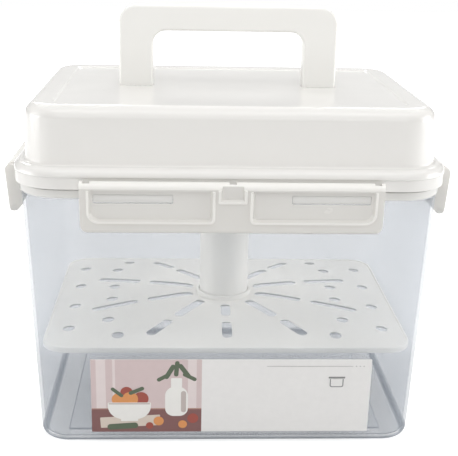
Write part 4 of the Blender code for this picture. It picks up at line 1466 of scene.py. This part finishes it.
@dataclass
class SprungPress:
    """The press: crowned plate, post, bush, guide tube and compression spring."""

    base: Footprint
    rim_top: float = 0.0600
    rim_height: float = 0.0036
    rim_wall: float = 0.0016
    rim_rounds: Radii = (0.0003, 0.0005, 0.00075, 0.00075)
    inset: float = 0.0027
    tub_wall: float = 0.0018
    web: float = 0.0020
    web_soft: float = 0.00045
    web_from_deg: float = 60.0
    web_steps: int = 2
    bead_drop: float = 0.0006
    crown: float = 0.0070
    crown_power: float = 6.0
    well_radius: float = 0.0270
    well_depth: float = 0.0022
    collar_outer: float = 0.0175
    collar_inner: float = 0.0158
    collar_height: float = 0.0030
    collar_round: float = 0.0007
    hole_radius: float = 0.0034
    slit_width: float = 0.0055
    slit_relief: float = 0.0024
    grid_pitch: float = 0.0045
    post_radius: float = 0.0155
    post_bore: float = 0.0137
    post_floor: float = 0.0022
    stud_radius: float = 0.0055
    stud_head: float = 0.0067
    stud_wall: float = 0.0018
    guide_bore: float = 0.0111
    guide_radius: float = 0.0123
    stop_radius: float = 0.0134
    stop_height: float = 0.0025
    bush_bore: float = 0.0126
    bush_spigot: float = 0.0134
    bush_collar: float = 0.0020
    coil_radius: float = 0.0077
    wire_radius: float = 0.0008
    wire_rings: int = 3
    coil_turns: int = 13
    coil_steps: int = 28

    # Each slit's ray in degrees, and its start and end as shares of the way to the plate's edge.
    SLITS: ClassVar[tuple[tuple[float, float, float], ...]] = (
        (18.0, 0.185, 0.448), (18.0, 0.510, 0.765), (54.0, 0.247, 0.526), (54.0, 0.598, 0.814),
        (90.0, 0.331, 0.522), (90.0, 0.624, 0.853),
    )
    # Each hole's place, as shares of the plate's half sizes.
    HOLES: ClassVar[tuple[Pair, ...]] = (
        (0.873, 0.222), (0.873, 0.665), (0.662, 0.140), (0.662, 0.560), (0.596, 0.815),
    )

    @property
    def offset(self) -> float:
        """The plate's edge, as an offset of the tub's base."""
        return self.rim_top * self.base.slope - self.tub_wall - self.inset

    @property
    def well_floor(self) -> float:
        """The height of the plate's face at the post's foot."""
        return self.rim_top + self.crown - self.well_depth

    def face_height(self, across: float, along: float) -> float:
        """Works out the height of the plate's crowned upper face.

        Args:
            across: The point's place along X.
            along: Its place along Y.

        Returns:
            The face's height over the point.
        """
        share_x = abs(across) / (self.base.half_width + self.offset)
        share_y = abs(along) / (self.base.half_depth + self.offset)
        rise = (share_x ** self.crown_power + share_y ** self.crown_power) ** (2 / self.crown_power)
        crowned = self.rim_top - self.bead_drop + self.crown * (1 - min(1.0, rise))
        radius = sqrt(across * across + along * along)
        into = (self.well_radius - radius) / (self.well_radius - self.collar_outer)
        into = max(0.0, min(1.0, into))
        return crowned + (self.well_floor - crowned) * into * into * (3 - 2 * into)

    def drains(self) -> list[bpy.types.Object]:
        """Makes the cutters for the slits and the holes.

        Returns:
            The cutters, upright and flared at their lower ends.
        """
        half_x = self.base.half_width + self.offset
        half_y = self.base.half_depth + self.offset
        low, high = -OVERRUN, self.web + SHALLOW_OVERRUN
        made = []
        for share_x, share_y in self.HOLES:
            for side_x in (-1, 1):
                for side_y in (-1, 1):
                    x, y, r = side_x * share_x * half_x, side_y * share_y * half_y, self.hole_radius
                    hole = solid(round_turns(r), low, high, Along.Z)
                    made.append(place(self.relieve(hole, (0.0, 0.0), (r, r)), Matrix.Translation((x, y, 0.0))))
        for angle, start_share, end_share in self.SLITS:
            reach = min(half_x / cos(radians(angle)), half_y / sin(radians(angle)))
            half = self.slit_width / 2
            for turn in sorted({angle, 180 - angle, 180 + angle, 360 - angle}):
                slit = box_turns((start_share * reach, -half), (end_share * reach, half), (half,) * 4)
                cutter = solid(slit, low, high, Along.Z)
                middle = (start_share + end_share) * reach / 2
                self.relieve(cutter, (middle, 0.0), ((end_share - start_share) * reach / 2, half))
                made.append(place(cutter, Matrix.Rotation(radians(turn), 4, "Z")))
        return made

    def relieve(self, cutter: bpy.types.Object, middle: Pair, half: Pair) -> bpy.types.Object:
        """Widens a cutter's lower end, so that the opening flares downwards.

        Args:
            cutter: The upright cutter.
            middle: Its middle, across and along.
            half: Its half sizes, across and along.

        Returns:
            The same cutter.
        """
        grow = [1 + self.slit_relief * (1 + OVERRUN / self.web) / size for size in half]
        pivot = Matrix.Translation((*middle, 0.0))
        flare = pivot @ Matrix.Diagonal((*grow, 1.0, 1.0)) @ pivot.inverted()
        for vert in cutter.data.vertices:
            if vert.co.z < 0.0:
                vert.co = flare @ vert.co
        return cutter

    def plate(self) -> bpy.types.Object:
        """Cuts the flat web, bends it to the crown and joins it to the rim and the collar.

        Returns:
            The plate.
        """
        half_x = self.base.half_width + self.offset
        half_y = self.base.half_depth + self.offset
        inside = self.rim_wall / 2
        radius = self.base.corner_radius + self.offset - inside
        flat = box_turns((inside - half_x, inside - half_y), (half_x - inside, half_y - inside), (radius,) * 4)
        web = solid(flat, 0.0, self.web, Along.Z, "press_grid")
        stud_hole = solid(round_turns(self.stud_radius + PLAY), -OVERRUN, self.web + OVERRUN, Along.Z)
        combine(web, self.drains() + [stud_hole], Cut.REMOVE)
        soften(web, self.web_soft, self.web_from_deg, self.web_steps)
        self.bend(web)
        rim = make_piece(self.base.sweep(box_turns((self.offset - self.rim_wall, self.rim_top - self.rim_height),
                                                   (self.offset, self.rim_top), self.rim_rounds)), "rim")
        collar = make_piece(spin_full(box_turns((self.collar_inner, self.well_floor - self.web / 2),
                                                (self.collar_outer, self.well_floor + self.collar_height),
                                                (0.0, 0.0, self.collar_round, self.collar_round))), "collar")
        return combine(web, [rim, collar], Cut.ADD)

    def bend(self, web: bpy.types.Object) -> None:
        """Divides the flat web by a grid of cuts and lifts it to the crowned form.

        Args:
            web: The flat web, whose mesh is changed.
        """
        bm = bmesh.new()
        bm.from_mesh(web.data)
        for axis, half in ((0, self.base.half_width), (1, self.base.half_depth)):
            count = ceil(half / self.grid_pitch)
            for number in range(-count + 1, count):
                point = Vector((0.0, 0.0, 0.0))
                point[axis] = number * self.grid_pitch
                normal = Vector((0.0, 0.0, 0.0))
                normal[axis] = 1.0
                bmesh.ops.bisect_plane(bm, geom=bm.verts[:] + bm.edges[:] + bm.faces[:], dist=WELD,
                                       plane_co=point, plane_no=normal)
        for vert in bm.verts:
            vert.co.z += self.face_height(vert.co.x, vert.co.y) - self.web
        bmesh.ops.triangulate(bm, faces=[face for face in bm.faces if len(face.verts) > 4])
        bm.to_mesh(web.data)
        bm.free()

    def post(self) -> bpy.types.Object:
        """Turns the hollow post with its snap stud.

        Returns:
            The post.
        """
        low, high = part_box("press_post")
        foot = self.well_floor + PLAY
        under = self.well_floor - self.web - PLAY
        core = self.stud_radius - self.stud_wall
        outline = (
            Turn(core, low.z), Turn(self.stud_radius, low.z, TINY_ROUND), Turn(self.stud_head, under, TINY_ROUND),
            Turn(self.stud_radius, under), Turn(self.stud_radius, foot), Turn(self.post_radius, foot, FULL_ROUND),
            Turn(self.post_radius, high.z, CRISP_ROUND), Turn(self.post_bore, high.z, CRISP_ROUND),
            Turn(self.post_bore, foot + self.post_floor, FULL_ROUND), Turn(core, foot + self.post_floor),
        )
        return make_piece(spin_full(outline), "press_tube")

    def bush(self) -> bpy.types.Object:
        """Turns the bush in the post's mouth.

        Returns:
            The bush.
        """
        low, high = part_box("post_bush")
        collar = high.z - self.bush_collar
        outline = (
            Turn(self.bush_bore, low.z, TINY_ROUND), Turn(self.bush_spigot, low.z, TINY_ROUND),
            Turn(self.bush_spigot, collar), Turn(self.post_radius, collar, CRISP_ROUND),
            Turn(self.post_radius, high.z, SOFT_ROUND), Turn(self.bush_bore, high.z, CRISP_ROUND),
        )
        return make_piece(spin_full(outline), "sliding_bush")

    def guide(self) -> bpy.types.Object:
        """Turns the guide tube with the flange that stops the bush.

        Returns:
            The guide.
        """
        low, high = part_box("press_guide")
        stop = low.z + self.stop_height
        outline = (
            Turn(self.guide_bore, low.z, CRISP_ROUND), Turn(self.stop_radius, low.z, SOFT_ROUND),
            Turn(self.stop_radius, stop, TINY_ROUND), Turn(self.guide_radius, stop),
            Turn(self.guide_radius, high.z), Turn(self.guide_bore, high.z),
        )
        return make_piece(spin_full(outline), "guide_tube")

    def spring(self) -> bpy.types.Object:
        """Winds the compression spring as a round wire along a helix.

        Returns:
            The spring.
        """
        low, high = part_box("press_spring")
        start = low.z + self.wire_radius
        rise = high.z - self.wire_radius - start
        count = self.coil_turns * self.coil_steps
        curve = bpy.data.curves.new("press_coil", "CURVE")
        curve.dimensions = "3D"
        curve.bevel_depth = self.wire_radius
        curve.bevel_resolution = self.wire_rings
        curve.use_fill_caps = True
        spline = curve.splines.new("POLY")
        spline.points.add(count)
        for number, point in enumerate(spline.points):
            turn = 2 * pi * number / self.coil_steps
            height = start + rise * number / count
            point.co = (self.coil_radius * cos(turn), self.coil_radius * sin(turn), height, 1.0)
        wire = link_object("wire", curve)
        bpy.context.view_layer.update()
        mesh = bpy.data.meshes.new_from_object(wire.evaluated_get(bpy.context.evaluated_depsgraph_get()))
        coil = link_object("press_coil", mesh)
        bpy.data.objects.remove(wire, do_unlink=True)
        return coil

    def build(self) -> None:
        """Makes the press and what guides it."""
        seat(self.plate(), PRESS_SATIN, "press", "press_plastic", "press_plate")
        seat(self.post(), PRESS_SATIN, "press", "press_plastic", "press_post")
        seat(self.bush(), PRESS_SATIN, "press", "press_plastic", "post_bush")
        seat(self.guide(), PRESS_SATIN, "lid", "press_plastic", "press_guide")
        coil = seat(self.spring(), DRAWN_WIRE, "lid", "spring_steel", "press_spring")
        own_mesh(coil)


@dataclass(frozen=True)
class Lamp:
    """A soft rectangular lamp that faces the middle of the container, with its power in watts."""

    name: str
    at: Place
    size: Pair
    power: float

    AIM: ClassVar[Place] = (0.0, 0.0, 0.12)

    def hang(self) -> None:
        """Adds the lamp to the scene."""
        data = bpy.data.lights.new(self.name, "AREA")
        data.shape = "RECTANGLE"
        data.size, data.size_y = self.size
        data.energy = self.power
        lamp = link_object(self.name, data)
        lamp.location = self.at
        lamp.rotation_euler = (Vector(self.AIM) - Vector(self.at)).to_track_quat("-Z", "Y").to_euler()


@dataclass(frozen=True)
class Studio:
    """A pale floor, soft lamps and a white surround.

    The small lamp under the lid's ceiling stands for the light that the milky walls scatter inwards.
    """

    LAMPS: ClassVar[tuple[Lamp, ...]] = (
        Lamp("top_lamp", (0.0, 0.1, 1.5), (2.4, 2.0), 19.5),
        Lamp("top_front_lamp", (0.0, -0.9, 1.4), (1.4, 1.0), 8.6),
        Lamp("front_lamp", (0.0, -1.6, 0.70), (1.4, 0.8), 6.6),
        Lamp("left_lamp", (-1.5, -0.1, 0.45), (1.0, 0.7), 5.0),
        Lamp("right_lamp", (1.5, -0.1, 0.45), (1.0, 0.7), 9.0),
        Lamp("low_left_lamp", (-1.5, -0.1, 0.15), (1.0, 0.25), 6.0),
        Lamp("low_right_lamp", (1.5, -0.1, 0.15), (1.0, 0.25), 4.5),
        Lamp("back_lamp", (0.0, 1.5, 0.35), (1.6, 0.6), 1.6),
        Lamp("back_high_lamp", (0.0, 1.3, 1.0), (1.6, 0.4), 11.0),
        Lamp("inner_fill", (0.0, 0.0, 0.188), (0.17, 0.12), 0.090),
    )

    floor_size: float = 6.0
    floor_colour: Colour = (0.70, 0.70, 0.70)
    floor_roughness: float = 0.8
    floor_lift: float = 0.45
    far_lift: float = 1.0
    lift_from: float = 0.35
    lift_to: float = 1.20
    surround: float = 0.10

    def floor(self) -> None:
        """Lays the floor under the tub's foot."""
        bm = bmesh.new()
        bmesh.ops.create_grid(bm, x_segments=1, y_segments=1, size=self.floor_size / 2)
        floor = make_piece(bm, "floor")
        material, tree, shader = start_material("floor_paper")
        shader.inputs["Base Color"].default_value = (*self.floor_colour, 1.0)
        shader.inputs["Roughness"].default_value = self.floor_roughness
        path = tree.nodes.new("ShaderNodeLightPath")
        seen = add_math(tree, "MAXIMUM", path.outputs["Is Camera Ray"], path.outputs["Is Glossy Ray"])
        away = tree.nodes.new("ShaderNodeVectorMath")
        away.operation = "LENGTH"
        tree.links.new(tree.nodes.new("ShaderNodeTexCoord").outputs["Object"], away.inputs[0])
        rising = add_range(tree, away.outputs["Value"], self.floor_lift, self.far_lift, self.lift_from, self.lift_to)
        shader.inputs["Emission Color"].default_value = (1.0, 1.0, 1.0, 1.0)
        tree.links.new(add_math(tree, "MULTIPLY", seen, rising), shader.inputs["Emission Strength"])
        floor.data.materials.append(material)

    def world(self) -> None:
        """Lights evenly from all round and shows white behind the container."""
        world = bpy.data.worlds.new("surround")
        bpy.context.scene.world = world
        world.use_nodes = True
        tree = world.node_tree
        background = tree.nodes["Background"]
        background.inputs["Color"].default_value = (1.0, 1.0, 1.0, 1.0)
        path = tree.nodes.new("ShaderNodeLightPath")
        mix = tree.nodes.new("ShaderNodeMix")
        mix.inputs[2].default_value = self.surround
        mix.inputs[3].default_value = 1.0
        tree.links.new(path.outputs["Is Camera Ray"], mix.inputs["Factor"])
        tree.links.new(mix.outputs[0], background.inputs["Strength"])

    def build(self) -> None:
        """Sets up the floor, lamps and surround."""
        self.floor()
        self.world()
        for lamp in self.LAMPS:
            lamp.hang()
        bpy.context.scene.view_settings.view_transform = "Standard"


@dataclass(frozen=True)
class PhotoCamera:
    """The camera that the photograph was taken with, as fitted to its outlines."""

    place: Place = (-0.02557, -0.59058, 0.29275)
    yaw_deg: float = 2.751
    pitch_deg: float = 17.359
    roll_deg: float = 1.179
    focal_pixels: float = 966.95
    image_width: int = 458
    sensor_mm: float = 36.0
    clip_start: float = 0.01

    def build(self) -> None:
        """Adds the camera and makes it the scene's own."""
        data = bpy.data.cameras.new("photo_camera")
        data.sensor_width = self.sensor_mm
        data.lens = self.focal_pixels * self.sensor_mm / self.image_width
        data.clip_start = self.clip_start
        camera = link_object("photo_camera", data)
        aim = (Matrix.Rotation(-radians(self.yaw_deg), 4, "Z")
               @ Matrix.Rotation(radians(90.0 - self.pitch_deg), 4, "X")
               @ Matrix.Rotation(radians(self.roll_deg), 4, "Z"))
        camera.matrix_world = Matrix.Translation(self.place) @ aim
        bpy.context.scene.camera = camera


def main() -> None:
    """Builds the container's pieces in order, then the studio and the camera."""
    logging.basicConfig(level=logging.INFO, format="%(message)s")
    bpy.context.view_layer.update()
    base = Footprint()
    hinge = Hinge()
    for assembly in (ClearTub(base, hinge), FrontLabel(base), DomedLid(base, hinge), CarryHandle(),
                     LockFlaps(base, hinge), SprungPress(base), Studio(), PhotoCamera()):
        assembly.build()


if __name__ == "__main__":
    main()
